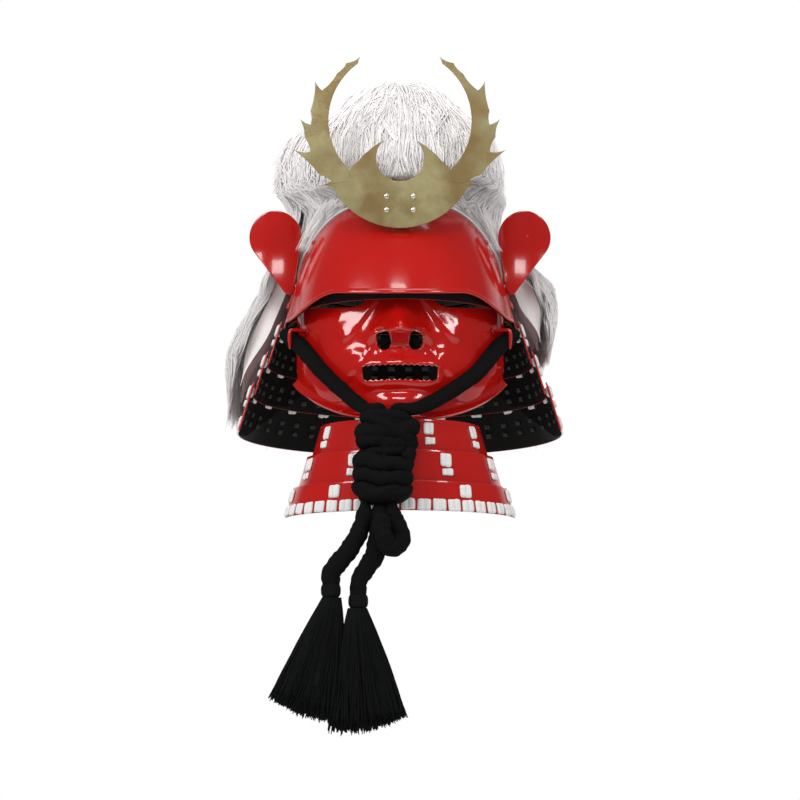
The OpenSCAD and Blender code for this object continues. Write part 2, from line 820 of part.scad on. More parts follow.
function bump(x, width) = exp(-pow(x / width, 2));
function nose(x, z) =
    let (drop = unit_range((nose_top - z) / (nose_top - nose_tip)),
         high = z > nose_tip
             ? mix(nose_root_out, nose_out, pow(drop, 1.3))
             : nose_out * (1 - smooth((nose_tip - z) / nose_under)))
    high * bump(x, mix(nose_root_w, nose_w, drop));
function lips(x, z) = lip_out * bump(z - mouth_z, lip_tall) * bump(x, lip_wide);
function chin(x, z) = chin_out * bump(z - chin_z, chin_tall) * bump(x, chin_wide);
function cheek(x, z) = cheek_out * bump(z - cheek_z, cheek_tall) * bump(abs(x) - cheek_x, cheek_wide);
function crease(x, z) = z < crease_top && z > crease_low
    ? crease_in * bump(abs(x) - crease_x + (z - crease_top + 5) * crease_lean, crease_w)
    : 0;

// The flange that turns out under the chin
flange_h = 6;
flange_out = 6;
function flange(phi, z) = flange_out * pow(unit_range(1 - (z - mask_low(phi)) / flange_h), 1.5);

function mask_point(phi, t, off) =
    let (z = mix(mask_high(phi), mask_low(phi), t),
         x = mask_half(z) * sin(phi),
         raise = nose(x, z) + lips(x, z) + chin(x, z) + cheek(x, z) - crease(x, z),
         edge = flange(phi, z) + off)
    [(mask_half(z) + edge) * sin(phi), mask_y - (mask_deep(z) + raise + edge) * cos(phi), z];

// The same surface at the height z
function mask_at(phi, z, off) = mask_point(phi, (mask_high(phi) - z) / (mask_high(phi) - mask_low(phi)), off);

// Teeth along the mouth opening's upper and lower edges
module mouth_opening() {
    tooth = 5;
    tooth_h = 1.6;
    n = floor(2 * mouth_w / tooth);
    difference() {
        translate([-mouth_w, mouth_z - mouth_h / 2]) square([2 * mouth_w, mouth_h]);
        for (i = [0 : n], side = [-1, 1])
            translate([-mouth_w + i * 2 * mouth_w / n, mouth_z + side * mouth_h / 2])
                polygon([[-tooth / 3, 0], [0, -side * tooth_h], [tooth / 3, 0]]);
    }
}

module mask() {
    angles = steps(-mask_angle, mask_angle, 32);
    rows = concat(steps(0, 0.94, 17), [0.97, 1]);
    color(RED) difference() {
        plate(
            [for (t = rows) [for (phi = angles) mask_point(phi, t, 0)]],
            [for (t = rows) [for (phi = angles) mask_point(phi, t, -mask_t)]]
        );
        translate([0, -60, 0]) rotate([90, 0, 0]) linear_extrude(90) mouth_opening();
        for (side = [-1, 1]) translate([side * nostril_x, -80, nostril_z]) rotate([90, side * 15, 0])
            linear_extrude(60) hull() for (dz = [-4, 4]) translate([0, dz]) circle(r = 4.2, $fn = 20);
    }
}

// Cheek hooks: bent rods that stand out of the mask and keep the cord in place
hook_phi = 60;
hook_z = -20;
hook_out = 17;
hook_down = 16;

module cord_hook_right() {
    color(RED) translate(mask_at(hook_phi, hook_z, 0.3)) rotate([0, 0, hook_phi]) {
        rotate([90, 0, 0]) cylinder(d = hook_d, h = hook_out, $fn = 20);
        translate([0, -hook_out, 0]) {
            sphere(d = hook_d, $fn = 20);
            rotate([180, 0, 0]) cylinder(d = hook_d, h = hook_down, $fn = 20);
        }
    }
}

module cord_hook_left() {
    mirror([1, 0, 0]) cord_hook_right();
}

// Throat guard: lames that hang from the mask's chin
throat_y = mask_point(0, 1, 0)[1] - fit + throat_d;
throat_n = 3;
throat_top = -103.2;
throat_front_slope = 0.05;
throat_angles = [for (phi = [-80 : turn_step : 80]) phi];

function throat_z(i) = throat_top - (i - 1) * throat_pitch;
function throat_out(i, z, slope) = (i - 1) * (lame_t + lame_gap) + slope * (throat_top - z);
function throat_off(i, z) = throat_out(i, z, throat_slope - (lame_t + lame_gap) / throat_pitch);
function throat_front(i, z) = throat_out(i, z, throat_front_slope);
function throat_point(i, phi, z, off) =
    ring(throat_w + throat_off(i, z) + off, throat_d + throat_front(i, z) + off, phi, z) + [0, throat_y, 0];

module throat_lame(i) {
    rows = [throat_z(i), throat_z(i) - (i == throat_n ? throat_h_last : throat_h)];
    color(RED) plate(
        [for (z = rows) [for (phi = throat_angles) throat_point(i, phi, z, lame_t)]],
        [for (z = rows) [for (phi = throat_angles) throat_point(i, phi, z, 0)]]
    );
}

function throat_lean(i, phi, z) = slope_of(
    throat_point(i, phi, z, 0), throat_point(i, phi + turn_step, z, 0),
    throat_point(i, phi, z - pad_long, 0), throat_point(i, phi + turn_step, z - pad_long, 0)
);

module on_throat(i, phi, z, off) {
    on_facet(throat_point(i, phi, z, off), throat_point(i, phi + turn_step, z, off), throat_lean(i, phi, z))
        children();
}

// Clearance of a lace over the twist of its facet
twist_fit = 0.15;

module throat_pad(i, phi, z, w, h) {
    on_throat(i, phi, z, lame_t + twist_fit) translate([-w / 2, -pad_t - pad_gap, -h]) cube([w, pad_t, h]);
}

// Width of the facet of the throat guard's lame i that starts at phi
function facet_w(i, phi, z) = norm(throat_point(i, phi + turn_step, z, 0) - throat_point(i, phi, z, 0));

module throat_lacing(i) {
    long_z = throat_z(i) - 3;
    color(WHITE) for (side = [-1, 1], first = [16, 56]) {
        phi = first + turn_step * (i - 1);
        start = side > 0 ? phi : -phi - turn_step;
        wide = min(pad_w, facet_w(i, start, long_z) - 0.4);
        throat_pad(i, start, long_z, wide, pad_long);
        if (i < throat_n) throat_pad(i, start, long_z - pad_long - 2, wide, pad_short);
        if (i > 1) on_throat(i, start, throat_z(i) - lace_in, 0)
            inner_lace(throat_lean(i, start, throat_z(i)));
    }
}

throat_knot_row = 10;

// Space between the knots of the edge
knot_space = 1.8;

module throat_edge_knots() {
    z = throat_z(throat_n) - throat_h_last + throat_knot_row;
    color(WHITE) for (phi = [-80 : turn_step : 79]) {
        throat_pad(throat_n, phi, z, min(pad_w + 1, facet_w(throat_n, phi, z) - knot_space), pad_w - 1);
    }
}

// Chin cord: from each ring, under the cheek hook and along the jaw to the knot
strap_right = [
    [89, -2, -16], [89, -10, -17], [93, -20, -18], [98, -32, -20], [95, -44, -25], [86, -57, -34],
    [76, -73, -48], [65, -84, -62], [48, -92, -75], [32, -101, -86], [18, -110, -94], [8, -118, -97],
    [-2, -121, -97]
];
strap_left = [
    [-89, -2, -16], [-89, -10, -17], [-93, -20, -18], [-98, -32, -20], [-95, -44, -25],
    [-86, -57, -34], [-76, -73, -48], [-65, -84, -62], [-52, -92, -75], [-41, -101, -86],
    [-32, -110, -94], [-26, -118, -97], [-18, -121, -97]
];

module chin_cord_right() {
    color(BLACK) tube(strap_right, cord_d, [0, 0, 1], 10);
}

module chin_cord_left() {
    color(BLACK) tube(strap_left, cord_d, [0, 0, 1], 10);
}

// The knot under the chin, as a flattened lump
knot_x = -10;
knot_y = -126.6;
knot_top = -104;
knot_bottom = -130;

function oval(at, a, b, n) = [for (k = [0 : n - 1]) at + [a * cos(360 * k / n), b * sin(360 * k / n), 0]];

module chin_knot() {
    color(BLACK) loft([
        oval([knot_x, knot_y, knot_bottom], 22, 8, 20),
        oval([knot_x, knot_y, knot_bottom + 5], 27, 11.5, 20),
        oval([knot_x, knot_y, knot_bottom + 15], 28, 12.5, 20),
        oval([knot_x, knot_y, knot_top - 6], 27, 12, 20),
        oval([knot_x, knot_y, knot_top], 20, 8, 20)
    ]);
}

// The hanging part swings at the knot's lower front edge
swing_gap = 0.6;
stem_top = [-12, -131, knot_bottom - swing_gap];
wind_end = 2.7;
stem_low = [-17, -142, knot_bottom - swing_gap - wind_n * wind_pitch - wind_d - 2 * wind_end];
stem_a = 14;
stem_b = 4;

module cord_stem() {
    color(BLACK) loft([for (t = steps(1, 0, 4)) oval(mix(stem_top, stem_low, t), stem_a, stem_b, 16)]);
}

// One unbroken cord wound round the stem, from its back to its back, with straight ends one diameter long
wind_side = 6;
wind_ring = 24;
wind_out = 0.8 + wind_d / 2;

function wind_at(turn) =
    mix(stem_top, stem_low, (wind_end + wind_d / 2 + turn * wind_pitch) / norm(stem_low - stem_top))
    + [(stem_a + wind_out) * cos(90 + 360 * turn), (stem_b + wind_out) * sin(90 + 360 * turn), 0];
function wind_run(turn) = wind_d * unit(wind_at(turn + 1 / wind_ring) - wind_at(turn - 1 / wind_ring));

wind_route = concat(
    [wind_at(0) - wind_run(0)],
    [for (k = [0 : wind_n * wind_ring]) wind_at(k / wind_ring)],
    [wind_at(wind_n) + wind_run(wind_n)]
);
wind_gap = min([
    for (i = [0 : len(wind_route) - 1], j = [i + wind_ring / 2 : 1 : len(wind_route) - 1])
        norm(wind_route[i] - wind_route[j])
]) - wind_d;
echo(least_gap_of_the_winding = wind_gap);

module cord_winding() {
    color(BLACK) tube(wind_route, wind_d, [0, 0, 1], wind_side);
}

// Two cords leave the stem side by side and each ends in a tassel
tail_left = [
    [-30, -142, -185.5], [-30, -142, -192], [-35, -142, -206], [-44, -142, -221], [-54, -142, -233],
    [-58, -142, -240], [-58, -142, -246]
];
tail_right = [
    [-17, -142, -185.5], [-17, -142, -192], [-18, -142, -208], [-22, -142, -225], [-31, -142, -239],
    [-35, -142, -248], [-35, -142, -255]
];
bow = [
    [-4, -142, -185.5], [-3, -142, -192], [3, -143, -203], [5, -146, -213],
    [-2, -153, -219], [-11, -157, -211], [-14, -157, -196]
];

module cord_tail_left() {
    color(BLACK) tube(tail_left, tail_d, [0, 1, 0], 10);
}

module cord_tail_right() {
    color(BLACK) tube(tail_right, tail_d, [0, 1, 0], 10);
}

module cord_bow() {
    color(BLACK) tube(bow, tail_d, [0, 1, 0], 10);
}

// Tassels: a wound head on each cord's end, and a skirt of threads
head_r = 8.5;
head_h = 14;
tassel_deep = 13;
lean_left = 14.6;
lean_right = -6.7;

module tassel_head(at) {
    color(BLACK) translate(at - [0, 0, head_h + fit]) rotate_extrude($fn = 32)
        polygon([
            [0, 0], [head_r - 1.5, 0], [head_r, 3],
            [head_r, head_h - 4], [head_r - 3, head_h], [0, head_h]
        ]);
}

// A skirt that leans to the side by an angle
module tassel(at, lean) {
    top = at - [0, 0, head_h + 2 * fit];
    low = top - tassel_h * [sin(lean), 0, cos(lean)];
    color(BLACK) loft([for (t = [1 : -0.25 : 0])
        oval(mix(top, low, t), mix(head_r - 1, tassel_w, pow(t, 0.8)), mix(head_r - 1, tassel_deep, t), 20)]);
}

tail_end_left = tail_left[len(tail_left) - 1];
tail_end_right = tail_right[len(tail_right) - 1];

module tassel_head_left() {
    tassel_head(tail_end_left);
}

module tassel_head_right() {
    tassel_head(tail_end_right);
}

module tassel_left() {
    tassel(tail_end_left, lean_left);
}

module tassel_right() {
    tassel(tail_end_right, lean_right);
}

bowl();
visor();
visor_rivets();
base_band();
base_band_rivets();
liner();
liner_hem();
hair_cap();
hair_crown();
hair_left();
hair_right();
hair_back();
crest_prong();
crest_plate();
crest_socket();
crest_rivets();
neck_lame(1);  // neck_lame_1
neck_lame(2);  // neck_lame_2
neck_lame(3);  // neck_lame_3
neck_lame(4);  // neck_lame_4
neck_lacing(1);  // neck_lacing_1
neck_lacing(2);  // neck_lacing_2
neck_lacing(3);  // neck_lacing_3
neck_lacing(4);  // neck_lacing_4
neck_edge_knots();
turn_back_left();
turn_back_right();
turn_back_rivets();
cord_ring_left();
cord_ring_right();
ring_staples();
mask();
cord_hook_left();
cord_hook_right();
throat_lame(1);  // throat_lame_1
throat_lame(2);  // throat_lame_2
throat_lame(3);  // throat_lame_3
throat_lacing(1);  // throat_lacing_1
throat_lacing(2);  // throat_lacing_2
throat_lacing(3);  // throat_lacing_3
throat_edge_knots();
chin_cord_left();
chin_cord_right();
chin_knot();
cord_stem();
cord_winding();
cord_bow();
cord_tail_left();
cord_tail_right();
tassel_head_left();
tassel_head_right();
tassel_left();
tassel_right();
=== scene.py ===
# A samurai helmet with its face mask, throat guard and chin cord, dressed around its packed frame.
# Shapes are worked out in millimetres, with the front towards -Y, and turned into metres by Shape.piece.

import math

import bmesh
import bpy
import numpy as np
from bpy.props import FloatProperty, FloatVectorProperty, IntProperty, PointerProperty
from mathutils import Matrix, Vector, noise


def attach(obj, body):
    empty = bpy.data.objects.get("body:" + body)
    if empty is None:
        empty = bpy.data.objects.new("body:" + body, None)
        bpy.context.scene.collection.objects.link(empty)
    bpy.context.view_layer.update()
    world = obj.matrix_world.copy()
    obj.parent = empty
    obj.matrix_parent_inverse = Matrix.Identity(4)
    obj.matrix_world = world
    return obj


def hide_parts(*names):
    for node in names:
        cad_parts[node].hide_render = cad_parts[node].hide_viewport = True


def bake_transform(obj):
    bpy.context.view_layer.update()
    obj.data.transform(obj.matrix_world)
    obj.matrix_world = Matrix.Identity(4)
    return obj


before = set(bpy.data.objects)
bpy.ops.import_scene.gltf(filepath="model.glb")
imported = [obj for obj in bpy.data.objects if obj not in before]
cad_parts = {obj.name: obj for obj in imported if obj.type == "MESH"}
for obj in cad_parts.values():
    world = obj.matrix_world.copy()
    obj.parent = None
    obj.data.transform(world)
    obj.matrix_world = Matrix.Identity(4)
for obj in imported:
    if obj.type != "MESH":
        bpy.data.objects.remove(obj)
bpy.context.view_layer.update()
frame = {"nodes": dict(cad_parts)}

bl_info = {
    "name": "Samurai helmet",
    "version": (1, 0, 0),
    "blender": (4, 5, 0),
    "location": "View3D > Sidebar > Helmet",
    "description": "Builds the lacquered plates, lacing, hair, crest and cords of a samurai helmet",
    "category": "Object",
}

MM = 0.001

# Sizes of the frame, in millimetres
BOWL_W = 180
BOWL_L = 210
BOWL_H = 118
BOWL_WALL = 1.6
BOWL_ROUND = 2.3
BAND_H = 24
BAND_T = 1.5
FIT = 0.3
SHELL_FIT = 0.5
VISOR_TOP = 86
VISOR_TOP_END = 50
VISOR_LOW = 2
VISOR_ARCH = 20
VISOR_DROP = 26
VISOR_BEND = 30
VISOR_REACH = 15
VISOR_SIDE = 12
VISOR_T = 1.6
VISOR_ANGLE = 72
LAME_T = 1.5
LAME_GAP = 2.5
NECK_PITCH = 27
NECK_H = 37
NECK_H_LAST = 43
NECK_N = 4
NECK_FROM = 80
NECK_TOP = BAND_H - 4
NECK_SLOPE = 0.45
NECK_LEAN = NECK_SLOPE - (LAME_T + LAME_GAP) / NECK_PITCH
NECK_BOTTOM = NECK_TOP - (NECK_N - 1) * NECK_PITCH - NECK_H_LAST
THROAT_W = 68
THROAT_D = 64
THROAT_N = 3
THROAT_PITCH = 27
THROAT_H = 33
THROAT_H_LAST = 26
THROAT_SLOPE = 0.44
THROAT_FRONT_SLOPE = 0.05
THROAT_TOP = -103.2
THROAT_ANGLE = 80
THROAT_LACES = (16, 56)
TURN = 8
PAD_T = 1.9
PAD_W = 11
PAD_LONG = 11
PAD_SHORT = 6
PAD_GAP = 0.2
TWIST_FIT = 0.15
KNOT_SPACE = 1.8
CREST_LOW = 61
CREST_BACK = -107
CREST_T = 1.5
CREST_RIVET_X = 11.5
CREST_RIVET_Z = (15.5, 27.5)
HAIR_TOP = 210
HAIR_W = 100
HAIR_L = 116
HAIR_MID = 108
HAIR_SHIFT = 18
HAIR_ROUND = 1.85
HAIR_BACK_RIM = 46
HANG_FROM = 84
FALL_T = 20
FALL_TOP = 48.6
CORD_D = 13
WIND_D = 11.2


# Small helpers

def mix(a, b, t):
    return a + (b - a) * t


def unit_range(t):
    return np.clip(t, 0.0, 1.0)


def smooth(t):
    """An even step from 0 to 1"""
    c = unit_range(t)
    return c * c * (3 - 2 * c)


def bump(x, width):
    """A round hump of height 1 at 0"""
    return np.exp(-((x / width) ** 2))


def unit(v):
    v = np.asarray(v, float)
    return v / np.linalg.norm(v, axis=-1, keepdims=True)


def ring(a, b, phi, z):
    """A point on an ellipse of half axes a and b, at the angle phi in degrees from the front"""
    phi = np.radians(phi)
    return np.stack(np.broadcast_arrays(a * np.sin(phi), -b * np.cos(phi), z), -1).astype(float)


def cloud(points, size, seed=0.0):
    """Smooth noise from -1 to 1 at points in millimetres, whose lumps are about size across"""
    shape = points.shape[:-1]
    flat = points.reshape(-1, 3) / size + seed
    return np.array([noise.noise(Vector(p)) for p in flat.tolist()]).reshape(shape)


def run_along(points):
    """The distance along a line at each of its points"""
    return np.concatenate([[0], np.cumsum(np.linalg.norm(np.diff(points, axis=0), axis=1))])


def evenly(points, count, closed=False):
    """count evenly spaced points along a line; a closed one doesn't repeat its start at the end"""
    run = run_along(points)
    at = np.linspace(0, run[-1], count, endpoint=not closed)
    return np.stack([np.interp(at, run, points[:, k]) for k in range(points.shape[1])], -1)


def curve_through(points, count):
    """count evenly spaced points on a smooth curve through the given points"""
    p = np.asarray(points, float)
    p = np.vstack([2 * p[0] - p[1], p, 2 * p[-1] - p[-2]])
    fine = []
    for i in range(1, len(p) - 2):
        t = np.linspace(0, 1, 24, endpoint=False)[:, None]
        a, b, c, d = p[i - 1], p[i], p[i + 1], p[i + 2]
        fine.append(0.5 * (2 * b + (c - a) * t + (2 * a - 5 * b + 4 * c - d) * t**2 + (3 * b - a - 3 * c + d) * t**3))
    return evenly(np.vstack(fine + [p[-2:-1]]), count)


def tangents(path):
    return unit(np.gradient(path, axis=-2))


def frames_along(path, up):
    """Side and upward directions along a path, carried on without twist"""
    t = tangents(path)
    u = np.zeros_like(path)
    u[0] = unit(np.cross(up, t[0]))
    for i in range(1, len(path)):
        u[i] = unit(u[i - 1] - t[i] * np.dot(u[i - 1], t[i]))
    return u, np.cross(t, u)


def facet_frame(p, q, slope):
    """The place of a facet between p and q, which leans out by slope below them"""
    p, q = np.asarray(p, float), np.asarray(q, float)
    turn = Matrix.Rotation(math.atan2(q[1] - p[1], q[0] - p[0]), 4, "Z")
    lean = Matrix.Rotation(-math.atan(slope), 4, "X")
    return np.array(Matrix.Translation(Vector((p + q) / 2)) @ turn @ lean)


def placed(points, matrix):
    return points @ matrix[:3, :3].T + matrix[:3, 3]


def on_side(points, side):
    """The points of a piece of the right side, or their mirror image where side is -1"""
    return points * np.array([float(side), 1.0, 1.0])


def grid_faces(rows, cols, wrap=False, wrap_rows=False):
    """Quads between the points of a grid, which may close on itself"""
    i, j = np.meshgrid(
        np.arange(rows if wrap_rows else rows - 1), np.arange(cols if wrap else cols - 1), indexing="ij"
    )
    k, m = (j + 1) % cols, (i + 1) % rows
    return np.stack([i * cols + j, i * cols + k, m * cols + k, m * cols + j], -1).reshape(-1, 4)


def strip_faces(p, q):
    p, q = np.asarray(p), np.asarray(q)
    return np.stack([p[:-1], q[:-1], q[1:], p[1:]], -1)


def plate_faces(rows, cols):
    """Faces of a plate between two open grids: its outside, its inside and its edge"""
    n = rows * cols
    top, low = np.arange(cols), (rows - 1) * cols + np.arange(cols)
    first, last = np.arange(rows) * cols, np.arange(rows) * cols + cols - 1
    f = grid_faces(rows, cols)
    edge = np.vstack([
        strip_faces(top, top + n), strip_faces(low + n, low),
        strip_faces(first + n, first), strip_faces(last, last + n),
    ])
    return [f[:, ::-1], f + n, edge]


def tube_faces(rows, cols):
    """Faces of a tube of rings: its side and its two ends"""
    k = np.arange(cols)
    return [grid_faces(rows, cols, wrap=True), k[None], (rows - 1) * cols + k[None, ::-1]]


def soften_edges(piece, width, angle):
    """Rounds the edges that are sharper than angle, in degrees, by width in millimetres"""
    bevel = piece.modifiers.new("edges", "BEVEL")
    bevel.width = width * MM
    bevel.segments = 2
    bevel.limit_method = "ANGLE"
    bevel.angle_limit = math.radians(angle)


def seat(name, mesh, body, nodes):
    """Makes the object, lets it ride on its body, and hides the nodes that it stands for"""
    piece = bpy.data.objects.new(name, mesh)
    bpy.context.scene.collection.objects.link(piece)
    if body:
        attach(piece, body)
    if nodes:
        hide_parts(*nodes)
    return piece


class Shape:
    """Points in millimetres, their places on the cloth, and faces with a finish each"""

    def __init__(self):
        self.points, self.places, self.faces, self.finish, self.normals = [], [], [], [], []
        self.count = 0

    def add(self, points, faces, finish=0, places=None):
        points = np.asarray(points, float).reshape(-1, 3)
        if places is None:
            places = points[:, [0, 2]]
        for f in faces if isinstance(faces, list) else [faces]:
            f = np.asarray(f, int)
            if len(f):
                self.faces.append(f + self.count)
                self.finish.append(np.full(len(f), finish))
        self.points.append(points)
        self.normals.append(np.zeros((len(points), 3)))
        self.places.append(np.asarray(places, float).reshape(-1, 2))
        self.count += len(points)

    def plate(self, outer, inner, finish=(0, 1, 0)):
        """A plate between two open grids of points, with finishes for its outside, inside and edge"""
        start = len(self.faces)
        self.add(np.concatenate([outer.reshape(-1, 3), inner.reshape(-1, 3)]), plate_faces(*outer.shape[:2]))
        for k in range(3):
            self.finish[start + k][:] = finish[k]

    def dome(self, outer, inner, tip, inner_tip, finish=(0, 1, 0)):
        """A dome between two grids of rings, from the rim up, each closed by its own tip"""
        rows, cols = outer.shape[:2]
        n = rows * cols
        last = (rows - 1) * cols + np.arange(cols + 1) % cols
        rim = np.arange(cols + 1) % cols
        f = grid_faces(rows, cols, wrap=True)
        start = len(self.faces)
        fan = np.stack([last[:-1], last[1:], np.full(cols, 2 * n)], -1)
        inner_fan = np.stack([last[1:] + n, last[:-1] + n, np.full(cols, 2 * n + 1)], -1)
        self.add(
            np.concatenate([outer.reshape(-1, 3), inner.reshape(-1, 3), [tip], [inner_tip]]),
            [f, fan, f[:, ::-1] + n, inner_fan, strip_faces(rim + n, rim)],
        )
        for k, side in enumerate([0, 0, 1, 1, 2]):
            self.finish[start + k][:] = finish[side]

    def loops(self, grid):
        """Rings of points that close on themselves along and across, such as a band or a torus"""
        self.add(grid, grid_faces(*grid.shape[:2], wrap=True, wrap_rows=True))

    def tube(self, path, radius, sides=16, up=(0, 0, 1), flat=1.0, rough=None, round_ends=True):
        """A tube along a path, whose radius may change and whose side may be rough or flattened"""
        path = np.asarray(path, float)
        radius = np.broadcast_to(np.asarray(radius, float), len(path)).copy()
        if round_ends:
            cap = np.radians([90, 65, 40, 18])
            head, tail = unit(path[0] - path[1]), unit(path[-1] - path[-2])
            path = np.vstack([
                [path[0] + head * radius[0] * math.sin(a) for a in cap], path,
                [path[-1] + tail * radius[-1] * math.sin(a) for a in cap[::-1]],
            ])
            radius = np.concatenate([
                [radius[0] * max(0.04, math.cos(a)) for a in cap], radius,
                [radius[-1] * max(0.04, math.cos(a)) for a in cap[::-1]],
            ])
        u, v = frames_along(path, np.asarray(up, float))
        a = np.linspace(0, 2 * np.pi, sides, endpoint=False)
        across = np.cos(a)[None, :, None] * u[:, None] + flat * np.sin(a)[None, :, None] * v[:, None]
        r = radius[:, None] * np.ones(sides)
        run = run_along(path)
        if rough is not None:
            r = r * (1 + rough(run[:, None], a[None, :]))
        grid = path[:, None] + r[:, :, None] * across
        places = np.stack(np.broadcast_arrays(np.degrees(a)[None, :] * 0.1, run[:, None]), -1)
        self.add(grid, tube_faces(len(path), sides), places=places)

    def strands(self, paths, radius, outward, soft=0.0):
        """Three-sided strands: paths of strand by point, radius of strand by point

        soft is how far a strand is shaded like the surface that it lies on and not like a thread of its own."""
        t = tangents(paths)
        u = unit(np.cross(t, outward))
        v = np.cross(u, t)
        a = np.radians([90, 210, 330])
        grid = paths[:, :, None] + radius[:, :, None, None] * (
            np.cos(a)[None, None, :, None] * u[:, :, None] + np.sin(a)[None, None, :, None] * v[:, :, None]
        )
        s, k = paths.shape[:2]
        one = grid_faces(k, 3, wrap=True)
        base = np.arange(s)[:, None, None] * k * 3
        ends = np.array([[2, 1, 0], [3 * k - 3, 3 * k - 2, 3 * k - 1]])
        run = np.concatenate(
            [np.zeros((s, 1)), np.cumsum(np.linalg.norm(np.diff(paths, axis=1), axis=2), axis=1)], axis=1
        )
        places = np.stack(np.broadcast_arrays(np.arange(s)[:, None, None] + a[None, None], run[:, :, None]), -1)
        faces = [(one[None, :, ::-1] + base).reshape(-1, 4), (ends[None, :, ::-1] + base).reshape(-1, 3)]
        self.add(grid, faces, places=places)
        if soft:
            own = grid - paths[:, :, None]
            like_surface = np.broadcast_to(outward[:, :, None], grid.shape) * soft
            self.normals[-1] = unit(like_surface + unit(own)).reshape(-1, 3)

    def piece(self, name, body, nodes, slot, finishes, soften=0.0, face_out=True):
        """Makes the object, whose edges are rounded by soften millimetres; face_out turns its faces outwards"""
        mesh = bpy.data.meshes.new(name)
        points = np.concatenate(self.points) * MM
        size = np.concatenate([np.full(len(f), f.shape[1]) for f in self.faces])
        corner = np.concatenate([f.ravel() for f in self.faces])
        mesh.vertices.add(len(points))
        mesh.vertices.foreach_set("co", points.ravel())
        mesh.loops.add(len(corner))
        mesh.loops.foreach_set("vertex_index", corner)
        mesh.polygons.add(len(size))
        mesh.polygons.foreach_set("loop_start", np.concatenate([[0], np.cumsum(size)[:-1]]))
        mesh.polygons.foreach_set("material_index", np.concatenate(self.finish))
        mesh.update(calc_edges=True)
        layer = mesh.uv_layers.new(name="cloth")
        layer.data.foreach_set("uv", (np.concatenate(self.places)[corner] * 0.1).ravel())
        mesh.polygons.foreach_set("use_smooth", np.ones(len(size), bool))
        if face_out:
            bm = bmesh.new()
            bm.from_mesh(mesh)
            bmesh.ops.recalc_face_normals(bm, faces=bm.faces)
            bm.to_mesh(mesh)
            bm.free()
        if any(np.any(n) for n in self.normals):
            mesh.normals_split_custom_set_from_vertices(np.concatenate(self.normals).tolist())
        for finish in finishes:
            mesh.materials.append(bpy.data.materials[finish])
        piece = seat(name, mesh, body, nodes)
        if soften:
            soften_edges(piece, soften, 50)
        return piece


# Materials: effects that several finishes share are node groups, which put out masks, heights and colours

def add_node(tree, kind, **values):
    """A node of a kind, with its settings and the values of its inputs by name"""
    n = tree.nodes.new(kind)
    for key, value in values.items():
        key = key.replace("_", " ")
        if key in n.inputs:
            n.inputs[key].default_value = value
        else:
            setattr(n, key.replace(" ", "_"), value)
    return n


def feed(tree, node, **sources):
    """Joins outputs to the inputs of a node by name"""
    for key, source in sources.items():
        tree.links.new(source, node.inputs[key.replace("_", " ")])


def new_group(name, inputs, outputs):
    """A node group with its inputs and outputs, and the nodes inside it that stand for them"""
    group = bpy.data.node_groups.new(name, "ShaderNodeTree")
    for label, kind, value in inputs:
        s = group.interface.new_socket(label, in_out="INPUT", socket_type=kind)
        s.default_value = value
    for label, kind in outputs:
        group.interface.new_socket(label, in_out="OUTPUT", socket_type=kind)
    return group, group.nodes.new("NodeGroupInput"), group.nodes.new("NodeGroupOutput")


def math_node(tree, operation, a, b=None, c=None):
    """The output of a math node, whose inputs are numbers or other outputs"""
    n = tree.nodes.new("ShaderNodeMath")
    n.operation = operation
    for k, value in enumerate((a, b, c)):
        if value is None:
            continue
        if isinstance(value, (int, float)):
            n.inputs[k].default_value = value
        else:
            tree.links.new(value, n.inputs[k])
    return n.outputs[0]


def mix_colours(tree, share, a, b):
    """The output of a colour mix"""
    n = tree.nodes.new("ShaderNodeMix")
    n.data_type = "RGBA"
    for k, value in ((0, share), (6, a), (7, b)):
        if isinstance(value, (int, float, tuple)):
            n.inputs[k].default_value = value
        else:
            tree.links.new(value, n.inputs[k])
    return n.outputs[2]


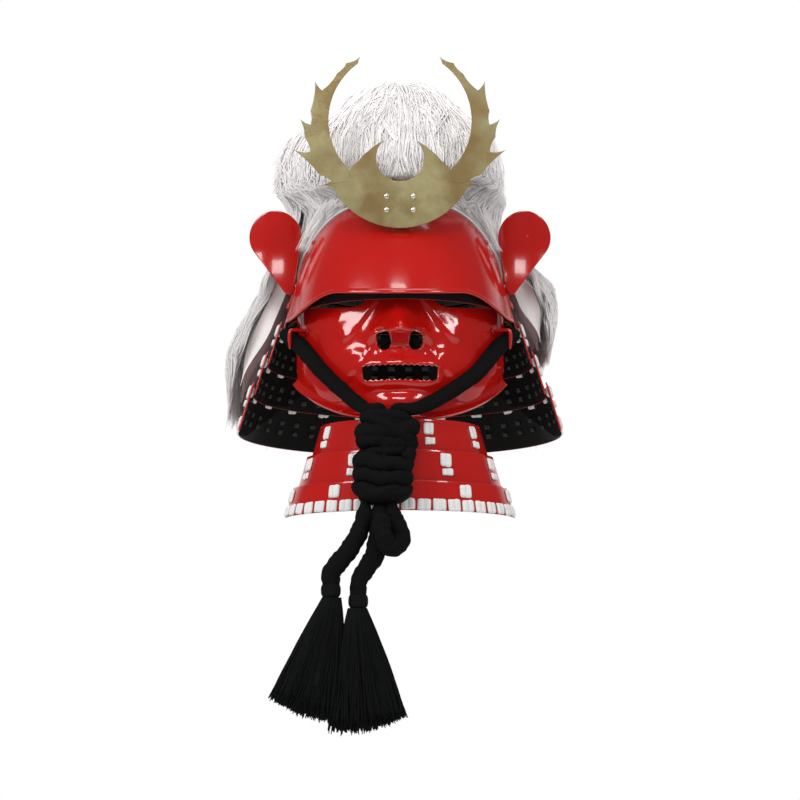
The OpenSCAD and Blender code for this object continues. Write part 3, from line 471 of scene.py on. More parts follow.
def shared_effects():
    """Builds the node groups that the finishes place"""
    f = "NodeSocketFloat"

    # Broad clouds and fine specks, for lacquer, brass and dust
    g, i, o = new_group("Patina", [("Cloud Scale", f, 20.0), ("Speck Scale", f, 400.0)],
                        [("Cloud", f), ("Speck", f), ("Height", f)])
    coords = add_node(g, "ShaderNodeTexCoord")
    clouds = add_node(g, "ShaderNodeTexNoise", Detail=5.0, Roughness=0.6)
    specks = add_node(g, "ShaderNodeTexNoise", Detail=3.0, Roughness=0.7)
    for n, s in ((clouds, "Cloud Scale"), (specks, "Speck Scale")):
        feed(g, n, Vector=coords.outputs["Object"], Scale=i.outputs[s])
    both = math_node(g, "MULTIPLY_ADD", specks.outputs["Fac"], 0.3, clouds.outputs["Fac"])
    feed(g, o, Cloud=clouds.outputs["Fac"], Speck=specks.outputs["Fac"], Height=both)

    # Worn edges are bright, and hollows are dark; the dark in the hollows is painted shade
    g, i, o = new_group("Edge wear", [("Amount", f, 1.0), ("Break", f, 60.0)], [("Edge", f), ("Hollow", f)])
    geometry = add_node(g, "ShaderNodeNewGeometry")
    edge = add_node(g, "ShaderNodeMapRange", From_Min=0.53, From_Max=0.62)
    # The hollow mask, where the lacquer paints shade
    hollow = add_node(g, "ShaderNodeMapRange", From_Min=0.49, From_Max=0.42)
    coords = add_node(g, "ShaderNodeTexCoord")
    broken = add_node(g, "ShaderNodeTexNoise", Detail=4.0)
    feed(g, broken, Vector=coords.outputs["Object"], Scale=i.outputs["Break"])
    for n in (edge, hollow):
        feed(g, n, Value=geometry.outputs["Pointiness"])
    worn = math_node(g, "MULTIPLY", edge.outputs["Result"], broken.outputs["Fac"])
    feed(g, o, Edge=math_node(g, "MULTIPLY", worn, i.outputs["Amount"]),
         Hollow=math_node(g, "MULTIPLY", hollow.outputs["Result"], i.outputs["Amount"]))

    # A plain or braided weave, drawn along the cloth's own places
    g, i, o = new_group("Weave", [("Across", f, 60.0), ("Along", f, 60.0), ("Slant", f, 0.0)], [("Height", f)])
    coords = add_node(g, "ShaderNodeTexCoord")
    split = add_node(g, "ShaderNodeSeparateXYZ")
    g.links.new(coords.outputs["UV"], split.inputs[0])
    slanted = math_node(g, "MULTIPLY_ADD", split.outputs[1], i.outputs["Slant"], split.outputs[0])
    back = math_node(g, "MULTIPLY_ADD", math_node(g, "MULTIPLY", split.outputs[0], i.outputs["Slant"]),
                     -1.0, split.outputs[1])
    a = math_node(g, "SINE", math_node(g, "MULTIPLY", slanted, i.outputs["Across"]))
    b = math_node(g, "SINE", math_node(g, "MULTIPLY", back, i.outputs["Along"]))
    feed(g, o, Height=math_node(g, "MULTIPLY_ADD", math_node(g, "MULTIPLY", a, b), 0.5, 0.5))


def place(tree, name, **values):
    """Places a shared effect with its own values"""
    n = tree.nodes.new("ShaderNodeGroup")
    n.node_tree = bpy.data.node_groups[name]
    for key, value in values.items():
        n.inputs[key.replace("_", " ")].default_value = value
    return n


def start_finish(name, specular, **values):
    """A new finish's node tree and shader, with values for the shader's inputs by name"""
    material = bpy.data.materials.new(name)
    material.use_nodes = True
    tree = material.node_tree
    shader = tree.nodes["Principled BSDF"]
    shader.inputs["Specular IOR Level"].default_value = specular
    for key, value in values.items():
        shader.inputs[key.replace("_", " ")].default_value = value
    return tree, shader


def finish_off(tree, shader, base, rough, height, distance, strength):
    """Feeds a finish's colour, roughness and bump"""
    b = add_node(tree, "ShaderNodeBump", Strength=strength, Distance=distance * MM)
    feed(tree, b, Height=height)
    feed(tree, shader, Base_Color=base, Roughness=rough, Normal=b.outputs["Normal"])


def shade(colour, k):
    """The colour, lighter or darker"""
    return tuple(min(1.0, c * k) for c in colour[:3]) + (1.0,)


# The light red of worn edges, lightened further as a painted edge highlight
WORN_AND_HIGHLIGHT_RED = (0.62, 0.2, 0.16, 1.0)


def lacquer(name, colour, rough, wear, specular=0.5):
    """Glossy lacquer, worn at its edges and darker in its hollows"""
    tree, shader = start_finish(name, specular, Coat_Weight=specular, Coat_Roughness=0.04)
    patina = place(tree, "Patina", Cloud_Scale=24.0, Speck_Scale=900.0)
    edges = place(tree, "Edge wear", Amount=wear, Break=120.0)
    base = mix_colours(tree, patina.outputs["Cloud"], shade(colour, 0.86), shade(colour, 1.1))
    # Painted shade: the red is darkened in the hollows
    base = mix_colours(tree, edges.outputs["Hollow"], base, shade(colour, 0.35))
    # The edges are lightened as wear and as a painted edge highlight
    base = mix_colours(tree, edges.outputs["Edge"], base, WORN_AND_HIGHLIGHT_RED)
    fleck = math_node(tree, "MULTIPLY_ADD", patina.outputs["Speck"], rough, rough * 0.6)
    finish_off(tree, shader, base, fleck, patina.outputs["Height"], 0.25, 0.35)


def brass(name, colour, green, rough):
    """Brass with greener and stained patches"""
    tree, shader = start_finish(name, 0.5, Metallic=0.9)
    patina = place(tree, "Patina", Cloud_Scale=26.0, Speck_Scale=600.0)
    broad = place(tree, "Patina", Cloud_Scale=15.0, Speck_Scale=55.0)
    edges = place(tree, "Edge wear", Amount=0.8, Break=90.0)
    spread = add_node(tree, "ShaderNodeMapRange", From_Min=0.42, From_Max=0.58)
    feed(tree, spread, Value=patina.outputs["Cloud"])
    base = mix_colours(tree, spread.outputs["Result"], shade(colour, 1), shade(green, 1))
    stained = add_node(tree, "ShaderNodeMapRange", From_Min=0.48, From_Max=0.62, To_Max=0.7)
    feed(tree, stained, Value=broad.outputs["Cloud"])
    base = mix_colours(tree, stained.outputs["Result"], base, shade(green, 1.5))
    base = mix_colours(tree, math_node(tree, "MULTIPLY", broad.outputs["Speck"], 0.8), base, shade(colour, 0.6))
    base = mix_colours(tree, edges.outputs["Edge"], base, shade(colour, 1.35))
    dull = math_node(tree, "MULTIPLY_ADD", spread.outputs["Result"], 0.16, rough)
    finish_off(tree, shader, base, dull, patina.outputs["Speck"], 0.08, 0.5)


def cloth(name, colour, rough, across, along, slant, depth, sheen=0.0, specular=0.25):
    """Woven or braided cloth"""
    tree, shader = start_finish(name, specular, Sheen_Weight=sheen, Sheen_Roughness=0.5)
    weave = place(tree, "Weave", Across=across, Along=along, Slant=slant)
    patina = place(tree, "Patina", Cloud_Scale=60.0, Speck_Scale=1500.0)
    # Darker where the weave lies low and lighter on its ridges: painted shade and light on the weave's relief
    base = mix_colours(tree, weave.outputs["Height"], shade(colour, 0.72), shade(colour, 1.12))
    base = mix_colours(tree, math_node(tree, "MULTIPLY", patina.outputs["Speck"], 0.5), base, shade(colour, 0.8))
    dull = math_node(tree, "MULTIPLY_ADD", patina.outputs["Cloud"], 0.2, rough - 0.1)
    both = math_node(tree, "MULTIPLY_ADD", patina.outputs["Speck"], 0.6, weave.outputs["Height"])
    finish_off(tree, shader, base, dull, both, depth, 0.8)


def threads(name, colour, rough, contrast, scale, sheen=0.0, specular=0.3):
    """Loose hair or thread, whose colour changes from strand to strand and along it"""
    tree, shader = start_finish(name, specular, Sheen_Weight=sheen, Sheen_Roughness=0.4)
    patina = place(tree, "Patina", Cloud_Scale=scale, Speck_Scale=scale * 22)
    light, dark = shade(colour, 1 + 0.4 * contrast), shade(colour, 1 - contrast)
    base = mix_colours(tree, patina.outputs["Cloud"], dark, light)
    base = mix_colours(tree, math_node(tree, "MULTIPLY", patina.outputs["Speck"], 0.5), base, shade(colour, 0.9))
    dull = math_node(tree, "MULTIPLY_ADD", patina.outputs["Speck"], 0.2, rough - 0.1)
    finish_off(tree, shader, base, dull, patina.outputs["Speck"], 0.15, 0.3)


def paint(piece, finish):
    """Gives a node of the frame a finish"""
    piece.data.materials.clear()
    piece.data.materials.append(bpy.data.materials[finish])
    for face in piece.data.polygons:
        face.material_index = 0


# Slots with their finishes

RED = ("red_lacquer", ["red lacquer"])
RED_PLATE = ("red_lacquer", ["red lacquer", "black lining"])
BLACK_CORD = ("black_cord", ["black cord"])
BLACK_THREAD = ("black_tassel", ["black thread"])
WHITE_HAIR = ("white_hair", ["white hair"])
LINER_CLOTH = ("liner_cloth", ["liner cloth"])


# Bowl and visor

def bowl_f(z):
    """The bowl's width at the height z, as a share of its rim's"""
    return (1 - unit_range(z / BOWL_H) ** BOWL_ROUND) ** (1 / BOWL_ROUND)


def bowl_lean(z):
    """Angle of the bowl's outward direction over the level"""
    return np.arcsin(unit_range(z / BOWL_H) ** (BOWL_ROUND / 2))


def bowl_point(phi, z, off):
    """A point off millimetres outside the bowl"""
    lean = bowl_lean(z)
    return ring(
        BOWL_W / 2 * bowl_f(z) + off * np.cos(lean), BOWL_L / 2 * bowl_f(z) + off * np.cos(lean),
        phi, z + off * np.sin(lean),
    )


def bowl_rise(t, start):
    """Height at the share t of the way from start to the top, in even steps along the bowl"""
    return BOWL_H * np.sin(mix(bowl_lean(start), np.pi / 2, t)) ** (2 / BOWL_ROUND)


def round_grid(rows, cols):
    """Angles all round, and shares of the way up from a rim to the top, which isn't reached"""
    phi = np.linspace(-180, 180, cols, endpoint=False)[None, :] * np.ones((rows, 1))
    return phi, np.arange(rows)[:, None] / rows * np.ones((1, cols))


def dome_grid(rim, rows, off, cols=180, ripple=None):
    """Points from a rim to the top, off millimetres outside the bowl"""
    phi, t = round_grid(rows, cols)
    z = bowl_rise(t, rim(phi))
    return bowl_point(phi, z, off + (ripple(phi, z) if ripple else 0))


def visor_high(phi):
    """Height of the visor's upper edge"""
    return mix(VISOR_TOP, VISOR_TOP_END, unit_range(abs(phi) / VISOR_ANGLE) ** 4)


def visor_edge(phi):
    """Height of the visor's lower edge: level in front, lower at its corners"""
    drop = VISOR_DROP * smooth((abs(phi) - VISOR_BEND) / (VISOR_ANGLE - VISOR_BEND))
    return VISOR_LOW + VISOR_ARCH * (1 - np.cos(np.radians(phi))) - drop


def visor_point(phi, t, off):
    """A point of the visor, from its upper edge at 0 to its lower edge at 1"""
    along = unit_range(abs(phi) / VISOR_ANGLE)
    return bowl_point(
        phi, mix(visor_high(phi), visor_edge(phi), t),
        SHELL_FIT + off + mix(VISOR_REACH, VISOR_SIDE, along) * t**1.6,
    )


def make_bowl(s):
    shape = Shape()
    shape.dome(
        dome_grid(lambda phi: 0 * phi, 40, 0), dome_grid(lambda phi: 0 * phi, 40, -BOWL_WALL),
        [0, 0, BOWL_H], [0, 0, BOWL_H - BOWL_WALL],
    )
    shape.piece("bowl_plate", "helmet", ["bowl"], *RED_PLATE, soften=0.3)


def band_profile(a, b, t, low, high, cols=180):
    """A flat band round the bowl with rounded edges"""
    phi = np.linspace(0, 360, cols, endpoint=False)
    r = t / 2
    rows = []
    for turn in np.radians(np.arange(0, 360, 45)):
        out = r + r * math.cos(turn)
        z = high - r if turn < math.pi else low + r
        rows.append(ring(a + out, b + out, phi, z + r * math.sin(turn)))
    return np.array(rows)


def make_base_band(s):
    shape = Shape()
    shape.loops(band_profile(BOWL_W / 2 + FIT, BOWL_L / 2 + FIT, BAND_T, 0, BAND_H))
    # The band takes a near-black copy of the red lacquer, as painted shade under the visor
    shape.piece("base_band_plate", "helmet", ["base_band"], "red_lacquer", ["deep lacquer"])


def make_visor(s):
    phi = np.linspace(-VISOR_ANGLE, VISOR_ANGLE, 241)
    t = np.concatenate([np.linspace(0, 0.86, 40), np.linspace(0.865, 1, 28)])
    t, phi = np.meshgrid(t, phi, indexing="ij")
    up = (1 - t) * (visor_high(phi) - visor_edge(phi))
    side = (VISOR_ANGLE - abs(phi)) / 180 * np.pi * BOWL_W / 2
    half = s.visor_rim / MM / 2
    near = np.minimum(up, side + 1.2)
    bead = s.visor_bead / MM * np.sqrt(np.clip(1 - ((near - half) / half) ** 2, 0, 1))
    shape = Shape()
    shape.plate(visor_point(phi, t, VISOR_T + bead), visor_point(phi, t, bead * 0.5))
    shape.piece("visor_plate", "helmet", ["visor"], *RED_PLATE, soften=0.5)


# Neck guard

def lame_z(i):
    return NECK_TOP - (i - 1) * NECK_PITCH


def neck_point(i, phi, z, off):
    """A point off millimetres outside a lame of the neck guard"""
    out = 2 * FIT + BAND_T + (i - 1) * (LAME_T + LAME_GAP) + NECK_LEAN * (NECK_TOP - z) + off
    return ring(BOWL_W / 2 + out, BOWL_L / 2 + out, phi, z)


def lame_grid(point, phi, high, low, rows=14):
    """Outer and inner grids of a lame's plate"""
    z, phi = np.meshgrid(np.linspace(high, low, rows), phi, indexing="ij")
    return point(phi, z, LAME_T), point(phi, z, 0)


def neck_body(i):
    return "helmet" if i == 1 else f"neck_ring_{i}"


def make_neck_lames(s):
    for i in range(1, NECK_N + 1):
        low = lame_z(i) - (NECK_H_LAST if i == NECK_N else NECK_H)
        phi = np.linspace(NECK_FROM, 360 - NECK_FROM, 201)
        shape = Shape()
        shape.plate(*lame_grid(lambda p, z, off: neck_point(i, p, z, off), phi, lame_z(i), low))
        shape.piece(f"neck_lame_plate_{i}", neck_body(i), [f"neck_lame_{i}"], *RED_PLATE, soften=0.45)


# Lacing: how far the laces lie under a lame's upper edge, outside and inside, and under each other

NECK_LACE_DROP, THROAT_LACE_DROP, INNER_DROP, LACE_GAP, INNER_H = 2, 3, 4, 2, 8


def lace(w, h, t, rng, laces=2):
    """Flat braided laces side by side, as points and faces of one closed pad that faces -Y"""
    cols, rows = 6 * laces + 1, 15
    x = np.linspace(-1, 1, cols)[None, :] * np.ones((rows, 1))
    z = np.linspace(0, 1, rows)[:, None] * np.ones((1, cols))
    lane = np.abs((x + 1) / 2 * laces % 1 - 0.5) * 2
    lane[:, [0, -1]] = 1
    puff = np.sqrt(np.clip(1 - lane**2.4, 0, 1))
    end = np.clip(1 - np.abs(2 * z - 1) ** 5, 0, 1) ** 0.5
    braid = 0.09 * np.cos(z * h / 1.1 * 2 * np.pi + lane * 2.2)
    body = t * (0.34 + 0.66 * puff) * (0.3 + 0.7 * end) * (1 + braid)
    slant = rng.uniform(-0.7, 0.7, (2, laces))
    which = np.clip(((x + 1) / 2 * laces).astype(int), 0, laces - 1)
    across = np.where(which % 2 == 0, 1, -1) * (lane - 0.5)
    shift = mix(slant[0][which], slant[1][which], z) * (0.5 + across * 0.8)
    narrow = 1 - 0.2 * (1 - end)
    front = np.stack([x * w / 2 * narrow, -body, -z * h + shift], -1)
    back = front * [1, 0, 1]
    return np.concatenate([front.reshape(-1, 3), back.reshape(-1, 3)]), np.vstack(plate_faces(rows, cols))


class Lacing:
    """The laces of one lame, gathered into one piece"""

    def __init__(self, seed, s):
        self.rng = np.random.default_rng(seed)
        self.shape = Shape()
        self.grow = s.lace_fullness

    def pad(self, place_at, w, h, t=PAD_T, laces=2, finish=0, gap=PAD_GAP, turned=False):
        points, faces = lace(w, h, t * self.grow, self.rng, laces)
        tip = math.radians(self.rng.uniform(-4, 4))
        c, k = math.cos(tip), math.sin(tip)
        x, z = points[:, 0].copy(), points[:, 2].copy() + h / 2
        points[:, 0], points[:, 2] = c * x - k * z, k * x + c * z - h / 2
        points *= [self.rng.uniform(0.95, 1.06), 1, self.rng.uniform(0.95, 1.05)]
        uv = points[:, [0, 2]].copy()
        points[:, 1] = (-points[:, 1] + gap) if turned else (points[:, 1] - gap)
        self.shape.add(placed(points, place_at), faces, finish, uv)

    def piece(self, name, body, nodes):
        self.shape.piece(name, body, nodes, "white_lace", ["white lace", "shaded lace"])


def neck_facet(i, phi, z, off):
    """The place of a lace on the facet of a neck lame that starts at phi"""
    return facet_frame(neck_point(i, phi, z, off), neck_point(i, phi + TURN, z, off), NECK_LEAN)


def inner_stretch(lacing, place_at, slope):
    """The part of a lace that runs between two lames"""
    deep = LAME_GAP * math.cos(math.atan(slope)) - FIT - PAD_GAP
    lacing.pad(place_at, PAD_W, INNER_H, deep, turned=True)


def make_neck_lacing(s):
    for i in range(1, NECK_N + 1):
        lacing = Lacing(40 + i, s)
        high = lame_z(i) - NECK_LACE_DROP
        first = NECK_FROM + (2 * TURN if i == 1 else 0)
        for phi in range(first, 360 - first, 2 * TURN):
            lacing.pad(neck_facet(i, phi, high, LAME_T), PAD_W, PAD_LONG)
            lacing.pad(neck_facet(i, phi, high - PAD_LONG - LACE_GAP, LAME_T), PAD_W, PAD_SHORT)
            if i > 1:
                inner_stretch(lacing, neck_facet(i, phi, lame_z(i) - INNER_DROP, 0), NECK_LEAN)
        # Small knots on the inside, in two rows, in the shaded lace: white lace painted dark as painted shade
        for phi in range(NECK_FROM + 4, 360 - NECK_FROM - 8, TURN):
            for drop in (19, 27):
                lacing.pad(neck_facet(i, phi, lame_z(i) - drop, 0), 6, 4, 1.1, 1, finish=1, gap=0.1, turned=True)
        lacing.piece(f"neck_laces_{i}", neck_body(i), [f"neck_lacing_{i}"])
    knots = Lacing(50, s)
    for phi in range(NECK_FROM, 360 - NECK_FROM, TURN):
        knots.pad(neck_facet(NECK_N, phi, NECK_BOTTOM + 14, LAME_T), PAD_W, PAD_W)
    knots.piece("neck_edge_laces", neck_body(NECK_N), ["neck_edge_knots"])


# Turn-backs

EAR_X, EAR_Y, EAR_BEND = BOWL_W / 2 + 19, -30, 60
EAR_TOP, EAR_LOW, EAR_W, EAR_T = 90, 15, 46, 1.6
TIP_R, TIP_IN = 5, 12
TAB_FRONT, TAB_BACK, TAB_LOW, TAB_HIGH = 19, 8, 4, 17


def ear_outline(count):
    """The egg-shaped outline, evenly spaced, as the hull of a large and a small circle"""
    r = EAR_W / 2
    big, small = np.array([EAR_X, EAR_TOP - r]), np.array([EAR_X - TIP_IN, EAR_LOW + TIP_R])
    gap = small - big
    line = math.atan2(gap[1], gap[0])
    touch = math.acos((r - TIP_R) / np.linalg.norm(gap))
    high = np.linspace(line + touch, line - touch + 2 * math.pi, 160)
    low = np.linspace(line - touch, line + touch, 60)
    p = np.vstack([
        big + r * np.stack([np.cos(high), np.sin(high)], -1), small + TIP_R * np.stack([np.cos(low), np.sin(low)], -1)
    ])
    return evenly(np.vstack([p, p[:1]]), count, closed=True)


def make_turn_backs(s):
    outline = ear_outline(160)
    middle = np.array([EAR_X - 2, EAR_TOP - EAR_W / 2 - 4])
    grow = np.linspace(0.04, 1, 22)[:, None, None]
    flat = middle + (outline - middle)[None] * grow

    def bent(off):
        dx = flat[..., 0] - EAR_X
        y = EAR_Y + EAR_BEND - np.sqrt(np.clip((EAR_BEND - off) ** 2 - dx**2, 1, None))
        y = y - s.ear_dish / MM * smooth((58 - flat[..., 1]) / 36)
        p = np.stack([flat[..., 0], y, flat[..., 1]], -1)
        p[..., 1] += 0.5 * cloud(p * [1, 0, 1], 24.0, 4.4)
        return p

    for side, name in ((1, "right"), (-1, "left")):
        shape = Shape()
        front, back = bent(0), bent(EAR_T)
        rows, cols = front.shape[:2]
        n = rows * cols
        out = (rows - 1) * cols + np.arange(cols + 1) % cols
        hub = np.arange(cols)
        points = np.concatenate([front.reshape(-1, 3), back.reshape(-1, 3)])
        faces = [
            grid_faces(rows, cols, wrap=True), grid_faces(rows, cols, wrap=True)[:, ::-1] + n,
            strip_faces(out, out + n), hub[None, ::-1], hub[None] + n,
        ]
        shape.add(on_side(points, side), faces)
        p = neck_point(1, NECK_FROM, lame_z(1) - 12, LAME_T)
        q = neck_point(1, NECK_FROM + TURN, lame_z(1) - 12, LAME_T)
        tab, faces = box([-TAB_FRONT, -EAR_T - PAD_GAP, -TAB_LOW], [TAB_BACK, -PAD_GAP, TAB_HIGH])
        shape.add(on_side(placed(tab, facet_frame(p, q, NECK_LEAN)), side), faces)
        shape.piece(f"turn_back_plate_{name}", "helmet", [f"turn_back_{name}"], *RED, soften=0.5)


def box(low, high):
    """The corners and faces of a box"""
    corners = np.array([[x, y, z] for x in (low[0], high[0]) for y in (low[1], high[1]) for z in (low[2], high[2])])
    return corners, np.array([[0, 1, 3, 2], [4, 6, 7, 5], [0, 4, 5, 1], [2, 3, 7, 6], [0, 2, 6, 4], [1, 5, 7, 3]])


# Crest

# Tips and notches of one horn's outer edge, from its foot up, over the crest's lowest point
SPIKES = [
    [68, 37], [59, 41], [69, 46], [91, 68], [77, 66], [82, 79], [86, 95], [77, 90], [77, 102], [73, 128],
    [67, 120], [54, 135], [46, 144], [34, 149.5],
]


def arc(centre, r, start, end, n):
    a = np.radians(np.linspace(start, end, n + 1))
    return [np.array(centre) + r * np.array([math.cos(t), math.sin(t)]) for t in a]


def hollowed(points, depth):
    """A line through the points, each stretch of it a little hollow"""
    out = []
    for p, q in zip(points[:-1], points[1:]):
        p, q = np.array(p, float), np.array(q, float)
        d = q - p
        side = np.array([-d[1], d[0]]) / np.linalg.norm(d)
        for t in np.linspace(0, 1, 8, endpoint=False):
            out.append(p + d * t + side * depth * 4 * t * (1 - t) * min(1, np.linalg.norm(d) / 15))
    return out + [np.array(points[-1], float)]


def crest_outline():
    """The crest's outline: its under side, outer edge, horn and the hollow between the horns, then their mirror"""
    low = np.array([0, CREST_LOW])
    under = arc([0, CREST_LOW + 65], 65, -90, -27, 36)
    horn = arc([0, CREST_LOW + 94], 61.5, 54, -45, 60)
    moon = arc([0, CREST_LOW + 61], 20.6, 46, -90, 36)
    outer = hollowed([under[-1]] + [np.array(p) + low for p in SPIKES] + [horn[0]], 1.2)
    inner = hollowed([horn[-1], low + [35, 59], low + [26, 68], moon[0]], -0.6)
    half = under + outer[1:-1] + horn + inner[1:-1] + moon
    return np.array(half + [p * [-1, 1] for p in half[-2:0:-1]])


def make_crest(s):
    outline = crest_outline()
    curve = bpy.data.curves.new("crest_outline", "CURVE")
    curve.dimensions = "2D"
    curve.fill_mode = "BOTH"
    edge = s.crest_edge / MM
    curve.extrude = (CREST_T / 2 - edge) * MM
    curve.bevel_depth = edge * MM
    curve.bevel_resolution = 2
    curve.offset = -edge * MM
    spline = curve.splines.new("POLY")
    spline.points.add(len(outline) - 1)
    flat, ones = np.zeros(len(outline)), np.ones(len(outline))
    spline.points.foreach_set("co", np.column_stack([outline * MM, flat, ones]).ravel())
    spline.use_cyclic_u = True
    holder = bpy.data.objects.new("crest_outline", curve)
    bpy.context.scene.collection.objects.link(holder)
    bpy.context.view_layer.update()
    mesh = bpy.data.meshes.new_from_object(holder)
    bpy.data.objects.remove(holder)
    bpy.data.curves.remove(curve)
    mesh.transform(Matrix.Rotation(math.radians(90), 4, "X"))
    mesh.transform(Matrix.Translation((0, (CREST_BACK - CREST_T / 2) * MM, 0)))
    mesh.name = "crest_sheet"
    mesh.materials.clear()
    mesh.materials.append(bpy.data.materials["crest brass"])
    bm = bmesh.new()
    bm.from_mesh(mesh)
    bmesh.ops.remove_doubles(bm, verts=bm.verts, dist=1e-6)
    bmesh.ops.recalc_face_normals(bm, faces=bm.faces)
    for face in bm.faces:
        face.smooth = abs(face.normal.y) < 0.98
        face.material_index = 0
    bm.to_mesh(mesh)
    bm.free()
    seat("crest_sheet", mesh, "crest", ["crest_plate"])
    shape = Shape()
    for x in (-CREST_RIVET_X, CREST_RIVET_X):
        for z in CREST_RIVET_Z:
            for y, way in ((CREST_BACK - CREST_T, -1), (CREST_BACK + 1, 1)):
                rivet_head(shape, [x, y, CREST_LOW + z], way, 2.3, 1.1)
    shape.piece("crest_rivet_heads", "crest", ["crest_rivets"], "gilt_brass", ["bright rivets"])


def rivet_head(shape, at, way, r, h):
    """A low domed rivet head that faces -Y or +Y"""
    rows = [[r, 0], [r, h * 0.25], [r * 0.9, h * 0.6], [r * 0.62, h * 0.9], [r * 0.3, h]]
    a = np.radians(np.arange(0, 360, 15))
    grid = np.array([[[q * math.cos(t), way * y, q * math.sin(t)] for t in a] for q, y in rows]) + np.array(at)
    shape.add(grid, tube_faces(len(rows), len(a)))


# Face mask

MASK_Y, MASK_ANGLE, MASK_END, MASK_T = -10, 76, -104, 2
MOUTH_W, MOUTH_H, MOUTH_Z, TOOTH_PITCH = 33, 15, -63, 5.08
MOUTH_SWELL, CHIN_SWELL, CHIN_Z, CHIN_OUT = 17, 10, -90, 5
# Rows of faces over, across and under the mouth, rows that the teeth bend, columns across the mouth and a cheek
MASK_ROWS, TOOTH_ROWS, MOUTH_COLS, CHEEK_COLS = (62, 14, 52), 7, 157, 111
NOSE_TOP, NOSE_TIP, NOSE_OUT = 14, -27, 26
CHEEK_X, CHEEK_Y, CHEEK_Z = 38, 77.6, -13
FLANGE = 6
NOSTRIL_X, NOSTRIL_Z, NOSTRIL_A, NOSTRIL_B, NOSTRIL_LEAN = 14.4, -35, 6.6, 8.2, 24


def mask_high(phi):
    side = abs(phi)
    return 11 - 15 * smooth((side - 6) / 20) + 3 * smooth((side - 32) / 24) - 4 * smooth((side - 58) / 18)


def mask_low(phi):
    return MASK_END + 40 * (abs(phi) / MASK_ANGLE) ** 2.2


def mask_half(z):
    """Half of the mask's width"""
    return mix(93, 73, smooth((-50 - z) / 60))


def mask_deep(z):
    """How far the mask's plain surface stands in front"""
    return mix(80, 88, smooth((10 - z) / 70))


def nose(x, z):
    """The ridge of the nose, from between the eyes to its tip"""
    drop = unit_range((NOSE_TOP - z) / (NOSE_TOP - NOSE_TIP))
    high = np.where(z > NOSE_TIP, mix(6, NOSE_OUT, drop**1.3), NOSE_OUT * (1 - smooth((NOSE_TIP - z) / 13)))
    return high * bump(x, mix(9, 18, drop))


# Humps on both sides of the mask's middle: height, middle and width across, middle and width up, and how far
# the middle moves out for each millimetre down
HUMPS = (
    (CHIN_OUT, 0, 40, MOUTH_Z, MOUTH_SWELL, 0),  # round the mouth
    (CHIN_OUT, 0, 22, CHIN_Z, CHIN_SWELL, 0),  # chin
    (-1.6, 0, 24, -79, 4, 0),  # hollow between mouth and chin
    (5, 54, 18, -18, 14, 0),  # cheek bones
    (4.6, 21, 5, -33, 9, 0),  # wings of the nose
    (2.6, 32.4, 4, -52, 14, 0.45),  # folds from the nose down
    (1.2, 39, 7, -45, 5, 0),  # lower cheeks
)


def mask_forms(x, z):
    """How far the features stand out of the mask's plain surface"""
    side = abs(x)
    out = nose(x, z)
    for high, middle, wide, level, tall, lean in HUMPS:
        out = out + high * bump(side - middle - lean * (level - z), wide) * bump(z - level, tall)
    # The crease from the nose past the corner of the mouth
    out = out - np.where((z < -25) & (z > -85), 3 * bump(side - 20 + (z + 30) * 0.55, 4), 0)
    # The flat of the cheek under each eye, wide at the top and narrow below
    across = np.sqrt(1 - np.minimum(side / mask_half(z), 0.9) ** 2)
    flat = (CHEEK_Y + 0.4 * (CHEEK_X - side) + 0.2 * (CHEEK_Z - z)) / across - mask_deep(z)
    down = -2 - z
    within = 1 - smooth((abs(side - CHEEK_X - 0.3 * down) - 13 + 0.46 * down) / 8)
    return mix(out, flat, 0.92 * within * (1 - smooth((abs(z - CHEEK_Z) - 15) / 9)))


def mouth_edge(x, side, s):
    """How far the teeth reach into the mouth at x: the lower ones stand between the upper ones"""
    along = x / TOOTH_PITCH + (0.0 if side > 0 else 0.5)
    return s.tooth / MM * (1 - np.abs(along % 1 * 2 - 1)) ** 0.8


def mask_point(phi, z, off, s):
    """A point off millimetres outside the mask, with its features, lip and flange"""
    low = mask_low(phi)
    x = mask_half(z) * np.sin(np.radians(phi))
    flange = FLANGE * unit_range(1 - (z - low) / FLANGE) ** 1.5
    raised = mask_forms(x, z)
    lip = MOUTH_H / 2 * (1 - unit_range((np.abs(x) - MOUTH_W + 9) / 15) ** 2 * 0.9)
    raised = raised + s.lip_rim / MM * bump(np.abs(z - MOUTH_Z) - lip - 1.5, 5.0) * (
        1 - smooth((np.abs(x) - MOUTH_W + 3) / 12))
    a, b = mask_half(z) + flange + off, mask_deep(z) + raised + flange + off
    return ring(a, b, phi, z) + [0, MASK_Y, 0]


